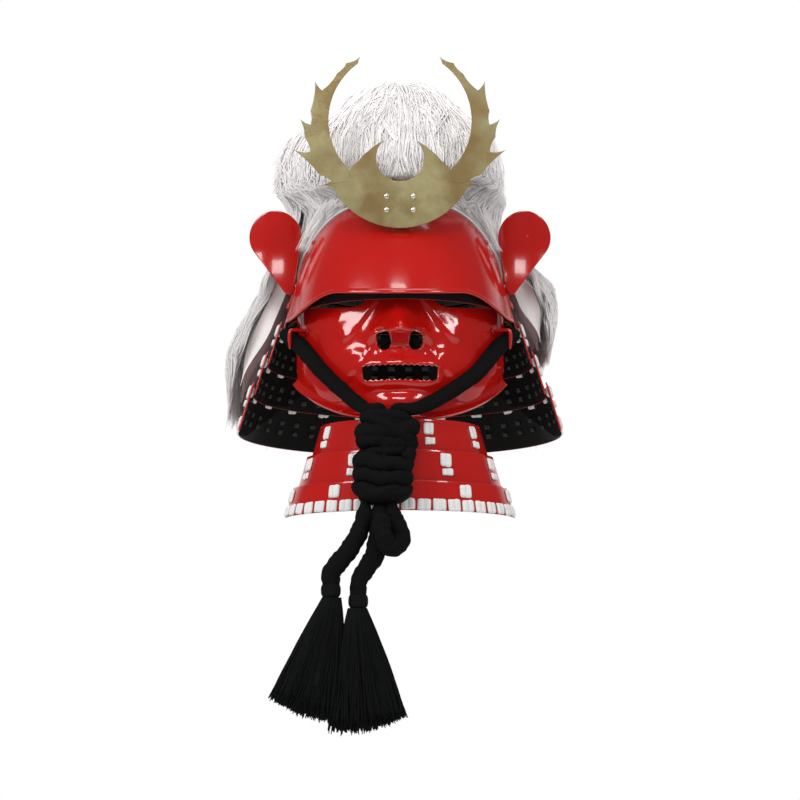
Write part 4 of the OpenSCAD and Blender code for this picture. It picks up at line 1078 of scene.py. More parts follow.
def mask_grid(s):
    """The mask's outer points in rows, and which faces between them are the opening of the mouth"""
    mouth_phi = math.degrees(math.asin(MOUTH_W / float(mask_half(MOUTH_Z))))
    inside = np.linspace(-mouth_phi, mouth_phi, MOUTH_COLS)
    outside = np.linspace(mouth_phi, MASK_ANGLE, CHEEK_COLS)[1:]
    phi = np.concatenate([-outside[::-1], inside, outside])
    hold = np.clip(phi, -mouth_phi - 3, mouth_phi + 3)
    span = mask_high(hold) - mask_low(hold)
    t_top = (mask_high(hold) - (MOUTH_Z + MOUTH_H / 2)) / span
    t_low = (mask_high(hold) - (MOUTH_Z - MOUTH_H / 2)) / span
    rows = []
    for part, (a, b) in zip(MASK_ROWS, ((0 * t_top, t_top), (t_top, t_low), (t_low, 0 * t_top + 1))):
        for k in range(part):
            rows.append(mix(a, b, k / part))
    rows.append(0 * t_top + 1)
    z = mix(mask_high(phi)[None], mask_low(phi)[None], np.array(rows))
    phi = np.broadcast_to(phi[None], z.shape)
    x = mask_half(z) * np.sin(np.radians(phi))
    within = np.abs(phi) <= mouth_phi + (inside[1] - inside[0]) / 2
    # The rows beside the mouth follow its toothed edge, and fade out a few rows away
    first, last = MASK_ROWS[0], MASK_ROWS[0] + MASK_ROWS[1]
    for row, side in ((first, 1), (last, -1)):
        for k in range(TOOTH_ROWS):
            at = row - side * k
            fade = (1 - k / TOOTH_ROWS) ** 2
            z[at] = z[at] - side * within[at] * mouth_edge(x[at], side, s) * fade
    points = mask_point(phi, z, 0, s)
    points = points + uneven(points, phi, s)
    row, col = np.meshgrid(*(np.arange(n - 1) for n in z.shape), indexing="ij")
    mouth = (row >= first) & (row < last) & (col >= len(outside)) & (col < len(outside) + len(inside) - 1)
    return points, mouth.ravel()


def cut_nostril(points, faces, side, s):
    """Moves the points round a nostril onto its oval edge, and returns which faces it cuts out"""
    lean = math.radians(side * NOSTRIL_LEAN)

    def local(q):
        dx, dz = q[..., 0] - side * NOSTRIL_X, q[..., 2] - NOSTRIL_Z
        across, along = dx * math.cos(lean) - dz * math.sin(lean), dx * math.sin(lean) + dz * math.cos(lean)
        return across / NOSTRIL_A, along / NOSTRIL_B

    centre = points[faces].mean(1)
    u, v = local(centre)
    cut = (u**2 + v**2 < 1) & (centre[:, 1] < -60)
    for k in set(np.unique(faces[cut]).tolist()) & set(np.unique(faces[~cut]).tolist()):
        u, v = local(points[k])
        r = math.hypot(u, v)
        u, v = u / r * NOSTRIL_A, v / r * NOSTRIL_B
        x = side * NOSTRIL_X + u * math.cos(lean) + v * math.sin(lean)
        z = NOSTRIL_Z - u * math.sin(lean) + v * math.cos(lean)
        phi = math.degrees(math.asin(np.clip(x / float(mask_half(z)), -1, 1)))
        points[k] = mask_point(np.array(phi), np.array(z), 0, s)
    return cut


def make_mask(s):
    points, hole = mask_grid(s)
    faces = grid_faces(*points.shape[:2])[:, ::-1]
    points = points.reshape(-1, 3)
    for side in (-1, 1):
        hole = hole | cut_nostril(points, faces, side, s)
    used, faces = np.unique(faces[~hole], return_inverse=True)
    shape = Shape()
    shape.add(points[used], faces.reshape(-1, 4))
    piece = shape.piece("face_mask_plate", "helmet", ["mask"], "red_lacquer",
                        ["mask lacquer", "black lining"], face_out=False)
    wall = piece.modifiers.new("wall", "SOLIDIFY")
    wall.thickness = MASK_T * MM
    wall.offset = -1
    wall.material_offset = 1
    wall.use_even_offset = False
    soften_edges(piece, 0.5, 60)


def uneven(points, phi, s):
    """The hand-beaten unevenness of the mask, along its outward direction"""
    out = cloud(points, 26.0, 3.1) + cloud(points, 11.0, 9.7) * 0.35
    out = out * s.mask_unevenness / MM
    way = np.stack([np.sin(np.radians(phi)), -np.cos(np.radians(phi)), 0 * phi], -1)
    return way * out[..., None]


# The cheek hooks: where they stand, and how far out and down each point of the bent rod lies
HOOK_PHI, HOOK_Z = 60.0, -20.0
HOOK_BEND = [(-1, 0), (6, 0), (13, 0), (16.2, 1.2), (17, 4.5), (17, 10), (16.6, 16)]


def make_hooks(s):
    base = mask_point(np.array(HOOK_PHI), np.array(HOOK_Z), 0.3, s)
    a = math.radians(HOOK_PHI)
    out = np.array([math.sin(a), -math.cos(a), 0])
    down = np.array([0, 0, -1.0])
    path = curve_through([base + out * x + down * y for x, y in HOOK_BEND], 40)
    thick = 1.5 * np.interp(np.linspace(0, 1, 40), [0, 0.8, 1], [1.05, 1, 0.6])
    for side, name in ((1, "right"), (-1, "left")):
        shape = Shape()
        shape.tube(on_side(path, side), thick, 16, up=(0.2, 1, 0.1))
        plate = np.array([out * k for k in (0.2, 1.0)]) + base
        shape.tube(on_side(plate, side), 3.6, 20, up=(0.1, 0.2, 1), round_ends=False)
        shape.piece(f"cheek_hook_{name}", "helmet", [f"cord_hook_{name}"], *RED, soften=0.25)


# Throat guard

def throat_y():
    """The guard's place in depth, where its front meets the flange under the mask's chin"""
    z = float(mask_low(0))
    forms = CHIN_OUT * (bump(z - MOUTH_Z, MOUTH_SWELL) + bump(z - CHIN_Z, CHIN_SWELL))
    return MASK_Y - (mask_deep(z) + forms + FLANGE) - FIT + THROAT_D


THROAT_Y = float(throat_y())


def throat_z(i):
    return THROAT_TOP - (i - 1) * THROAT_PITCH


def throat_point(i, phi, z, off):
    """A point off millimetres outside a lame of the throat guard"""
    lean = THROAT_SLOPE - (LAME_T + LAME_GAP) / THROAT_PITCH
    out = (i - 1) * (LAME_T + LAME_GAP) + lean * (THROAT_TOP - z)
    front = (i - 1) * (LAME_T + LAME_GAP) + THROAT_FRONT_SLOPE * (THROAT_TOP - z)
    return ring(THROAT_W + out + off, THROAT_D + front + off, phi, z) + [0, THROAT_Y, 0]


def throat_body(i):
    return "helmet" if i == 1 else f"throat_ring_{i}"


def throat_facet(i, phi, z, off):
    """The place of a lace on the facet of a throat lame that starts at phi, and the facet's slope"""
    p, q = throat_point(i, phi, z, off), throat_point(i, phi + TURN, z, off)
    top_p, top_q = throat_point(i, phi, z, 0), throat_point(i, phi + TURN, z, 0)
    low_p, low_q = throat_point(i, phi, z - PAD_LONG, 0), throat_point(i, phi + TURN, z - PAD_LONG, 0)
    d = (low_p + low_q - top_p - top_q) / 2
    out = unit(np.array([top_q[1] - top_p[1], top_p[0] - top_q[0], 0]))
    slope = float(d @ out) / -d[2]
    return facet_frame(p, q, slope), slope


def facet_w(i, phi, z):
    """Width of the facet of a lame of the throat guard that starts at phi"""
    return float(np.linalg.norm(throat_point(i, phi + TURN, z, 0) - throat_point(i, phi, z, 0)))


def make_throat_guard(s):
    for i in range(1, THROAT_N + 1):
        phi = np.linspace(-THROAT_ANGLE, THROAT_ANGLE, 161)
        shape = Shape()
        low = throat_z(i) - (THROAT_H_LAST if i == THROAT_N else THROAT_H)
        shape.plate(*lame_grid(lambda p, z, off: throat_point(i, p, z, off), phi, throat_z(i), low))
        shape.piece(f"throat_lame_plate_{i}", throat_body(i), [f"throat_lame_{i}"], *RED_PLATE, soften=0.45)
        lacing = Lacing(60 + i, s)
        high = throat_z(i) - THROAT_LACE_DROP
        for side in (-1, 1):
            for first in THROAT_LACES:
                phi = first + TURN * (i - 1)
                start = phi if side > 0 else -phi - TURN
                wide = min(PAD_W, facet_w(i, start, high) - 0.4)
                off = LAME_T + TWIST_FIT
                lacing.pad(throat_facet(i, start, high, off)[0], wide, PAD_LONG)
                if i < THROAT_N:
                    lacing.pad(throat_facet(i, start, high - PAD_LONG - LACE_GAP, off)[0], wide, PAD_SHORT)
                if i > 1:
                    inner_stretch(lacing, *throat_facet(i, start, throat_z(i) - INNER_DROP, 0))
        lacing.piece(f"throat_laces_{i}", throat_body(i), [f"throat_lacing_{i}"])
    knots = Lacing(70, s)
    z = throat_z(THROAT_N) - THROAT_H_LAST + 10
    for phi in range(-THROAT_ANGLE, THROAT_ANGLE, TURN):
        wide = min(PAD_W + 1, facet_w(THROAT_N, phi, z) - KNOT_SPACE)
        knots.pad(throat_facet(THROAT_N, phi, z, LAME_T)[0], wide, PAD_W - 1)
    knots.piece("throat_edge_laces", throat_body(THROAT_N), ["throat_edge_knots"])


# Cords, knot and tassels

STRAP_RIGHT = [
    [89, -2, -16], [89, -10, -17], [93, -20, -18], [98, -32, -20], [95, -44, -25], [86, -57, -34],
    [76, -73, -48], [65, -84, -62], [48, -92, -75], [32, -101, -86], [18, -110, -94], [8, -118, -97],
    [-2, -121, -97],
]
STRAP_LEFT = [
    [-89, -2, -16], [-89, -10, -17], [-93, -20, -18], [-98, -32, -20], [-95, -44, -25],
    [-86, -57, -34], [-76, -73, -48], [-65, -84, -62], [-52, -92, -75], [-41, -101, -86],
    [-32, -110, -94], [-26, -118, -97], [-18, -121, -97],
]
# The hanging cords run up through the winding to the knot
TAIL_LEFT = [
    [-16, -131.5, -132], [-20, -134, -145], [-25, -138, -165], [-29, -141, -180], [-30, -142, -192],
    [-35, -142, -206], [-44, -142, -221], [-54, -142, -233], [-58, -142, -240], [-58, -142, -246],
]
TAIL_RIGHT = [
    [-10, -131.5, -132], [-12, -134, -145], [-15, -138, -165], [-17, -141, -180], [-17, -142, -192],
    [-18, -142, -208], [-22, -142, -225], [-31, -142, -239], [-35, -142, -248], [-35, -142, -255],
]
BOW = [
    [-9, -140, -172], [-7, -142, -185.5], [-6, -142, -192], [-1, -143, -203], [0, -146, -212],
    [-6, -153, -218], [-13, -157, -212], [-16, -157, -197],
]


def folds(depth, step, seed, twist=0.0):
    """Creases across a soft cord, for the rough of a tube"""
    rng = np.random.default_rng(seed)
    wave = rng.uniform(0, 2 * np.pi, 4)

    def rough(run, a):
        lean = a * twist
        creases = np.sin(run / step * 2 * np.pi + wave[0] + lean + 0.9 * np.sin(a + wave[1]))
        small = np.sin(run / step * 4.6 * np.pi + wave[2] - lean + 1.3 * np.sin(2 * a + wave[3]))
        broad = np.sin(run / step * 0.7 + wave[1]) * 0.6
        return depth * (0.6 * creases * (0.4 + 0.6 * np.cos(a + wave[3]) ** 2) + 0.3 * small + broad)

    return rough


def make_cords(s):
    """The free cords, which come first because the frame measures them"""
    pieces = {}
    for name, route, node in (
        ("hanging_cord_left", TAIL_LEFT, ["cord_tail_left", "cord_stem"]),
        ("hanging_cord_right", TAIL_RIGHT, ["cord_tail_right"]),
        ("bow_loop", BOW, ["cord_bow"]),
    ):
        path = curve_through(route, 150)
        full = smooth((-180 - path[:, 2]) / 10) * (1 - 0.12 * smooth((-236 - path[:, 2]) / 8))
        full = full * (1 + 0.16 * bump(path[:, 2] + 218, 22))
        shape = Shape()
        shape.tube(path, mix(4.6, s.cord_full / MM, full), 32, up=(0, 1, 0.05),
                   rough=folds(s.cord_folds * 1.3, 15, len(name), 2.0))
        piece = shape.piece(name, "tassels", node, *BLACK_CORD)
        pieces[name] = (piece, path * MM)
    return pieces


def make_straps(s):
    for name, route, seed in (("right", STRAP_RIGHT, 5), ("left", STRAP_LEFT, 8)):
        path = curve_through(route, 190)
        shape = Shape()
        thick = CORD_D / 2 * np.interp(np.linspace(0, 1, 190), [0, 0.1, 0.3, 0.85, 1], [0.95, 1, 1.14, 1.1, 0.95])
        shape.tube(path, thick, 36, up=(0.0, 0.6, 1), flat=0.84, rough=folds(s.cord_folds * 0.9, 24, seed, 0.8))
        shape.piece(f"chin_strap_{name}", "helmet", [f"chin_cord_{name}"], *BLACK_CORD)


KNOT = np.array([-10.0, -127.4, -117.0])
# The two runs over the knot's front, from its middle, and the run inside it
OVER = np.array([[-19, 4, 12], [-15, -4, 11], [-6, -8.2, 6], [4, -9, 0], [13, -7, -5], [19, 0, -9]])
HUMP = np.array([[-11, 3, 9], [-7, -3, 12.5], [2, -5, 13], [11, -4, 11], [17, 1, 8]])
THROUGH = [KNOT + [0, 3, 8], KNOT + [-1, 1, -4], [-12, -131, -131], [-13, -134, -140], [-14, -137, -152]]


def oval_loop(centre, a, b, tilt, turn, count, z_wave=0.0, start=0.0, sweep=360.0):
    """Part of an oval loop round the knot, tilted about the depth axis"""
    w = np.radians(np.linspace(start, start + sweep, count))
    p = np.stack([a * np.cos(w), b * np.sin(w), z_wave * np.sin(2 * w + 0.6)], -1)
    t, q = math.radians(tilt), math.radians(turn)
    rot = np.array(Matrix.Rotation(t, 3, "Y") @ Matrix.Rotation(q, 3, "X"))
    return p @ rot.T + centre


def make_knot(s):
    shape = Shape()
    wraps = (
        ([-1, 0, -9.5], 19.5, 5.8, 3, 0, 7.4, 1.0, 3, 1.0), ([-0.5, 0, 0.5], 20.5, 6.0, -7, 2, 7.2, 1.4, 7, 1.05),
        ([1, 0.4, 8.6], 16.5, 4.6, 12, -3, 6.6, 1.0, 9, 1.0),
    )
    for shift, a, b, tilt, turn, r, wave, seed, flat in wraps:
        path = oval_loop(KNOT + shift, a, b, tilt, turn, 140, wave, 90, 352)
        shape.tube(path, r, 32, up=(0.1, 0.1, 1), flat=flat, rough=folds(s.cord_folds * 1.7, 17, seed, 1.5))
    over = curve_through(KNOT + OVER, 80)
    shape.tube(over, 6.4, 30, up=(0, 1, 0.2), flat=0.85, rough=folds(s.cord_folds * 1.6, 15, 21, 1.2))
    hump = curve_through(KNOT + HUMP, 60)
    shape.tube(hump, 6.0, 28, up=(0, 1, 0.2), rough=folds(s.cord_folds * 1.5, 14, 33, 1.0))
    shape.piece("tied_knot", "helmet", ["chin_knot"], *BLACK_CORD)
    # The cord runs on through the knot into the winding
    through = Shape()
    through.tube(curve_through(THROUGH, 60), 6.2, 28, up=(0, 1, 0.1), flat=1.5, rough=folds(s.cord_folds, 12, 51, 1.0))
    piece = through.piece("cord_through_knot", None, [], *BLACK_CORD)
    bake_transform(piece)


WIND_TOP, WIND_TURNS, WIND_PITCH, WIND_END = -130.6, 3, 12.6, 2.7


def make_winding(s):
    bottom = WIND_TOP - WIND_TURNS * WIND_PITCH - WIND_D - 2 * WIND_END
    top, low = np.array([-12, -131, WIND_TOP]), np.array([-17, -142, bottom])
    reach = np.linalg.norm(low - top)
    turn = np.linspace(-0.3, 3.12, 460)
    t = (WIND_END + WIND_D / 2 + unit_range(turn / WIND_TURNS) * WIND_TURNS * WIND_PITCH) / reach
    centre = mix(top, low, t[:, None])
    w = 2 * np.pi * turn + np.pi / 2
    out = 0.8 + WIND_D / 2 - 0.7 * smooth(turn - 1.6)
    wave = 2.3 * np.sin(w + 0.5) + 1.1 * np.sin(2 * w + 0.7 * turn) + 0.7 * np.sin(5 * w + 1)
    out = out + 0.9 * np.sin(0.63 * w + 1) + 0.5 * np.sin(2.3 * w)
    path = centre + np.stack([(13.6 + out) * np.cos(w), (4 + out) * np.sin(w), wave], -1)
    shape = Shape()
    thick = (WIND_D / 2 + 0.5) * (1 + 0.07 * np.sin(0.8 * w))
    shape.tube(path, thick, 30, up=(0, 0, 1), flat=1.2, rough=folds(s.cord_folds * 2.0, 21, 13, 2.2))
    collar = oval_loop(mix(top, low, 0.09), 14.5, 6.5, -7, 0, 110, 0.8, 90, 350)
    shape.tube(collar, 4.4, 26, up=(0.1, 0.1, 1), rough=folds(s.cord_folds * 1.4, 16, 41, 1.3))
    shape.piece("cord_wraps", "tassels", ["cord_winding"], *BLACK_CORD)


HEAD_R, HEAD_H, HEAD_TURNS = 8.5, 14, 7
SKIRT_H, SKIRT_W, SKIRT_D, SKIRT_LOCKS, SKIRT_ROWS = 110, 31, 13, 46, 14
# Name, the cord's end, lean in degrees, the side that the other tassel is on, and seed
TASSELS = (("left", TAIL_LEFT[-1], 14.6, 1, 71), ("right", TAIL_RIGHT[-1], -6.7, -1, 72))


def wound_head(low):
    """A tassel's head: a wound thread over a core"""
    w = np.linspace(0, 2 * np.pi * HEAD_TURNS, 420)
    along = w / (2 * np.pi * HEAD_TURNS)
    r = HEAD_R - 1.2 - 1.8 * np.abs(2 * along - 1) ** 3
    coil = low + np.stack([r * np.cos(w), r * np.sin(w) * 0.95, 1.4 + along * (HEAD_H - 3)], -1)
    shape = Shape()
    shape.tube(coil, 1.25, 8, up=(0, 0, 1))
    core = low + np.array([[0, 0, z] for z in np.linspace(1.5, HEAD_H - 1.5, 8)])
    shape.tube(core, [5.5, 6.6, 6.9, 7, 7, 6.8, 6.2, 5], 24, up=(0, 1, 0))
    return shape


def skirt_threads(top, way, meet, seed, count, k=12):
    """The paths of a skirt's threads, gathered in locks and pressed against the other tassel, and their outward way"""
    rng = np.random.default_rng(seed)
    a = rng.uniform(0, 2 * np.pi, count)
    deep = np.sqrt(rng.uniform(0.12, 1, count))
    lock = rng.integers(0, SKIRT_LOCKS, count)
    swing = rng.normal(0, 1, (SKIRT_LOCKS, 2))[lock]
    t = np.linspace(0, 1, k)[None, :]
    long = SKIRT_H * rng.uniform(0.93, 1.015, count)[:, None] * (1 + swing[:, 1:] * 0.012)
    far = unit_range((1 - meet * np.cos(a)[:, None] * deep[:, None]) / 2)
    long = long * ((1 - 0.2 * far) if meet > 0 else (0.95 - 0.11 * far**1.5))
    wide = mix(HEAD_R - 1.6, SKIRT_W - 1.5, t**0.85) * deep[:, None]
    thin = mix(HEAD_R - 1.6, SKIRT_D - 1.0, t) * deep[:, None]
    bend = 1.6 * np.sin(t * 5 + lock[:, None] * 1.7) * t
    px = wide * (np.cos(a) * np.where(np.cos(a) * meet > 0, 1.2, 1))[:, None] + swing[:, :1] * 1.1 * t + bend
    py = meet * 2.0 * t + thin * np.sin(a)[:, None] + swing[:, 1:] * 0.6 * t
    down = long * t * (1 - 0.03 * (np.cos(a)[:, None] * t) ** 2)
    paths = top + way * down[..., None] + np.stack([px, py, 0 * px], -1)
    paths[:, 0] = top + np.stack([px[:, 0], py[:, 0], np.full(count, 1.0)], -1)
    return paths, np.stack([np.cos(a), np.sin(a), 0 * a], -1)[:, None] * np.ones((1, k, 1))


def skirt_core(top, way):
    """Rings of the ribbed body under a skirt's threads"""
    rings = []
    w = np.radians(np.arange(0, 360, 6))
    for q in np.linspace(0, 0.7, SKIRT_ROWS):
        rib = 1 + 0.05 * np.sin(w * 11 + q * 3) * q
        rings.append(top + way * SKIRT_H * q + np.stack([
            mix(HEAD_R - 2, SKIRT_W - 4, q**0.85) * np.cos(w) * rib,
            mix(HEAD_R - 2, SKIRT_D - 3, q) * np.sin(w) * rib, 0 * w], -1))
    return np.array(rings)


def make_tassels(s):
    made = {}
    for name, end, lean, meet, seed in TASSELS:
        end = np.array(end, float)
        head = wound_head(end - [0, 0, HEAD_H + FIT])
        head_piece = head.piece(f"wound_head_{name}", "tassels", [f"tassel_head_{name}"], *BLACK_THREAD)
        top = end - [0, 0, HEAD_H + 2 * FIT]
        way = np.array([-math.sin(math.radians(lean)), 0, -math.cos(math.radians(lean))])
        paths, outward = skirt_threads(top, way, meet, seed, s.tassel_threads)
        radius = 0.75 * np.interp(np.linspace(0, 1, paths.shape[1]), [0, 0.95, 1], [1, 1, 0.6])
        skirt = Shape()
        skirt.strands(paths, radius * np.ones((len(paths), 1)), outward)
        core = skirt_core(top, way)
        side, first, last = tube_faces(*core.shape[:2])
        skirt.add(core, [side, first[:, ::-1], last[:, ::-1]])
        skirt_piece = skirt.piece(f"thread_skirt_{name}", "tassels", [f"tassel_{name}"], *BLACK_THREAD, face_out=False)
        made[name] = [head_piece, skirt_piece]
    return made


# Hair

def crown_rim(phi):
    """Height of the rim of the hair's crown"""
    side = abs(phi)
    return np.where(
        side <= VISOR_ANGLE, visor_high(phi) + 4,
        mix(VISOR_TOP_END + 4, HAIR_BACK_RIM, smooth((side - VISOR_ANGLE) / 30)),
    )


def crown_back(phi):
    """A step from the front of the crown, 0, to its back, 1"""
    return smooth((abs(phi) - 90) / 30)


def crown_low(phi):
    """How far the crown's rim stands off the bowl"""
    return mix(7, 20, crown_back(phi))


def crown_point(phi, t, deep=0.0):
    """A point on the hair's crown, deep millimetres under its surface"""
    lift, lean = unit_range(t / 0.4), np.pi / 2 * unit_range((t - 0.4) / 0.6)
    z = mix(crown_rim(phi), HAIR_MID, lift)
    low = bowl_point(phi, z, crown_low(phi) - deep)
    draw = np.clip(np.cos(lean), 0, 1) ** (2 / HAIR_ROUND)
    rise = (HAIR_TOP - HAIR_MID - deep) * np.sin(lean) ** (2 / HAIR_ROUND)
    high = ring((HAIR_W - deep) * draw, (HAIR_L - deep) * draw, phi, z + rise) + [0, HAIR_SHIFT, 0]
    share = lift ** mix(4, 1, crown_back(phi))
    p = mix(low, high, share[..., None])
    return p + outward_of(p) * swell(phi, t)[..., None]


def outward_of(points):
    """Outward direction from the hair's middle"""
    return unit((points - [0, HAIR_SHIFT, 60]) * [1, 1, 0.6])


def swell(phi, t):
    """Broad locks of the crown, as in the frame"""
    fade = smooth(t / 0.4) * (1 - unit_range(t) ** 5) * smooth((abs(phi) - 20) / 30)
    a = np.radians(phi)
    return fade * (
        14 * np.sin(3 * a) * bump(t - 0.5, 0.13) - 9 * bump(t - 0.74, 0.08)
        + 5 * np.sin(5 * a + math.radians(60)) * np.sin(np.radians(720 * t + 40))
    )


def lobes(points):
    """Small locks over the broad ones"""
    return 1.6 * cloud(points, 15.0, 5.2) + 0.8 * cloud(points, 7.0, 2.2)


def fall_off(z):
    """How far the falls' inner side stands off the bowl"""
    return np.where(
        z > NECK_TOP, mix(3.4, 10, (FALL_TOP - z) / (FALL_TOP - NECK_TOP)),
        10 + (NECK_SLOPE - 0.05) * (NECK_TOP - np.maximum(z, NECK_BOTTOM)),
    )


def fall_deep(t, z, full, full_z):
    """The falls' thickness, with their fullest place at full_z"""
    return FALL_T * (1 - 0.75 * unit_range(t) ** 2) + full * bump(z - full_z, 45) * smooth(4 * t)


def fall_point(phi, t, fall, share):
    """A point in a fall of hair: share 0 is its inner side and 1 its outer side"""
    low, full, full_z = fall
    z = mix(FALL_TOP, low, t)
    off = fall_off(z) + fall_deep(t, z, full, full_z) * share
    return ring(BOWL_W / 2 + off, BOWL_L / 2 + off, phi, z)


def hair_strands(shape, surface, roots, count, locks, width, s, rng, k=8, fly=5.0, flow=1.0):
    """Strands gathered into wavy locks that lie on a surface

    roots gives the range of phi, and of the start and end along the surface. surface takes phi, t and a depth."""
    (phi_a, phi_b), (start_a, start_b), (end_a, end_b) = roots
    lock_phi = rng.uniform(phi_a, phi_b, locks)
    lock_start = rng.uniform(start_a, start_b, locks)
    lock_end = rng.uniform(end_a, end_b, locks)
    lock_drift = rng.normal(0, 7.0, locks) * flow
    lock_deep = rng.uniform(0.0, 4.5, locks)
    lock_wave = rng.uniform(0, 2 * np.pi, (locks, 3))
    lock_rate = rng.uniform(1.1, 2.4, locks)
    which = rng.integers(0, locks, count)
    spread = rng.normal(0, 1, (count, 2))
    t = np.linspace(0, 1, k)[None, :]
    gather = 1 - 0.72 * t**1.4
    w = lock_wave[which]
    sway = np.sin(t * lock_rate[which, None] * 2 * np.pi + w[:, :1])
    sway2 = np.sin(t * lock_rate[which, None] * 5.1 + w[:, 1:2])
    phi = lock_phi[which, None] + spread[:, :1] * 3.6 * gather + lock_drift[which, None] * t
    phi = phi + s.hair_wave / MM * 0.75 * (sway * 0.8 + sway2 * 0.35) * (0.3 + t)
    at = mix(lock_start[which, None], lock_end[which, None] + rng.normal(0, 0.03, (count, 1)), t)
    deep = lock_deep[which, None] + spread[:, 1:] * 1.8 * gather
    curl = np.sin(t * lock_rate[which, None] * 2 * np.pi + w[:, 2:3])
    deep = deep - 1.6 * curl - rng.uniform(0, fly, (count, 1)) * t**3
    paths = surface(phi, at, deep)
    paths = paths + rng.normal(0, 0.25, paths.shape)
    radius = width * rng.uniform(0.7, 1.2, (count, 1)) * np.interp(t, [0, 0.15, 0.75, 1], [0.5, 1, 0.9, 0.16])
    shape.strands(paths, radius, outward_of(paths), soft=0.6)


def make_crown(s):
    rng = np.random.default_rng(11)
    shape = Shape()
    phi, t = round_grid(64, 240)
    outer = crown_point(phi, t, 3.2)
    locks = lobes(outer) * smooth(t / 0.25)
    groove = 0.9 * np.sin(np.radians(phi) * 96 + 5 * np.sin(t * 9 + np.radians(phi) * 7)) * smooth(t / 0.2)
    outer = outer + outward_of(outer) * (locks + groove)[..., None]
    inner = bowl_point(phi, bowl_rise(t, crown_rim(phi)), 3.4)
    shape.dome(outer, inner, outer[-1].mean(0) + [0, 0, 0.5], [0, 0, BOWL_H + 3.4], (0, 0, 0))

    def surface(phi, t, deep):
        """The crown, and below its rim at the sides and back the outside of the falls"""
        hang = np.minimum(t, 0) * (abs(phi) > HANG_FROM)
        t = np.clip(t, 0, 0.995)
        p = crown_point(phi, t, 5.0)
        p = p + outward_of(p) * (lobes(p) * smooth(t / 0.25) + 5.0 - deep)[..., None]
        z = crown_rim(phi) + 150 * hang
        off = mix(crown_low(phi), fall_off(z) + FALL_T + 2.5, smooth(-hang / 0.07)) - deep * 0.6
        over = ring(BOWL_W / 2 + off, BOWL_L / 2 + off, phi, z)
        return mix(p, over, smooth(-hang / 0.03)[..., None])

    n = s.crown_strands
    # Long locks all over, then those that hang over the falls, and short ones round the top
    for roots, share, locks, k, flow in (
        (((-180, 180), (0.62, 0.99), (-0.06, 0.2)), 0.5, 300, 8, 1.3),
        (((HANG_FROM, 360 - HANG_FROM), (0.3, 0.7), (-0.26, -0.12)), 0.2, 120, 12, 0.8),
        (((-180, 180), (0.8, 0.99), (0.35, 0.6)), 0.3, 170, 8, 2.6),
    ):
        hair_strands(shape, surface, roots, int(n * share), locks, 0.6, s, rng, k=k, flow=flow)
    shape.piece("crown_of_hair", "helmet", ["hair_crown"], *WHITE_HAIR, face_out=False)


# Name, node, range of phi, lowest point with the fullness and its height, share of the strands, seed
FALLS = (
    ("hair_fall_left", "hair_left", (-120, -90), (-88, 14, -30), 0.62, 21),
    ("hair_fall_right", "hair_right", (90, 120), (-38, 16, 20), 0.5, 22),
    ("hair_fall_back", "hair_back", (121, 239), (-96, 8, -10), 1.5, 23),
)


def make_falls(s):
    for name, node, (phi_a, phi_b), fall, share, seed in FALLS:
        rng = np.random.default_rng(seed)
        shape = Shape()
        cols = int((phi_b - phi_a) * 1.1) + 8
        t, phi = np.meshgrid(np.linspace(0, 1, 40), np.linspace(phi_a, phi_b, cols), indexing="ij")
        edge = np.minimum(phi - phi_a, phi_b - phi)
        ends = 0.8 + 0.09 * np.sin(np.radians(phi) * 31 + seed) * np.sin(np.radians(phi) * 12)
        t = t * ends
        ripple = 0.06 * np.sin(np.radians(phi) * 64 + 4 * t) + 0.05 * np.sin(np.radians(phi) * 23 - 5 * t)
        thin = 1 - smooth((t - ends * 0.55) / (ends * 0.45))
        outer = fall_point(phi, t, fall, mix(0.42, 0.74 + ripple - 0.25 * bump(edge, 2), thin))
        inner = fall_point(phi, t, fall, mix(0.4, 0.04, thin))
        shape.plate(outer, inner, (0, 0, 0))

        def surface(phi, t, deep, fall=fall, phi_a=phi_a, phi_b=phi_b):
            phi = np.clip(phi, phi_a - 1.5, phi_b + 1.5)
            return fall_point(phi, t, fall, np.clip(1.0 - deep / 22, 0.03, 1.06))

        count = int(s.fall_strands * share)
        roots = ((phi_a, phi_b), (-0.02, 0.12), (0.86, 1.0))
        hair_strands(shape, surface, roots, count, int(60 * share * 2), 0.55, s, rng, fly=3.0, flow=0.22)
        piece = shape.piece(name, None, [node], *WHITE_HAIR, face_out=False)
        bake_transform(piece)


# The cap under the hair, over the bowl: its inner and outer side, and its hem
CAP_IN, CAP_OUT, CAP_HEM_UP, CAP_HEM_R = 0.9, 2.9, 1.2, 1.35


def cap_rim(phi):
    """Height of the cap's rim, which runs under the rim of the hair"""
    side = abs(phi)
    return np.where(
        side <= VISOR_ANGLE, visor_high(phi) + 2,
        mix(VISOR_TOP_END + 2, BAND_H + 3, smooth((side - VISOR_ANGLE) / 30)),
    )


def make_hair_cap(s):
    outer, inner = (dome_grid(cap_rim, 40, off, 200) for off in (CAP_OUT, CAP_IN))
    shape = Shape()
    shape.dome(outer, inner, [0, 0, BOWL_H + CAP_OUT], [0, 0, BOWL_H + CAP_IN], (0, 0, 0))
    phi = np.linspace(-180, 180, 260, endpoint=False)
    hem = bowl_point(phi, cap_rim(phi) + CAP_HEM_UP, (CAP_IN + CAP_OUT) / 2)
    w = np.linspace(0, 2 * np.pi, 8, endpoint=False)[:, None, None]
    out = unit(hem * [1, 1, 0])[None]
    shape.loops(hem[None] + CAP_HEM_R * (np.cos(w) * out + np.sin(w) * np.array([0, 0, 1.0])))
    shape.piece("hair_cap_cloth", "helmet", ["hair_cap"], "hair_cap_cloth", ["cap cloth"])


# Liner

LINER_GAP, LINER_T, LINER_LOW, LINER_SEAMS, HEM_H = 7, 2, 24, (52, 84), 9


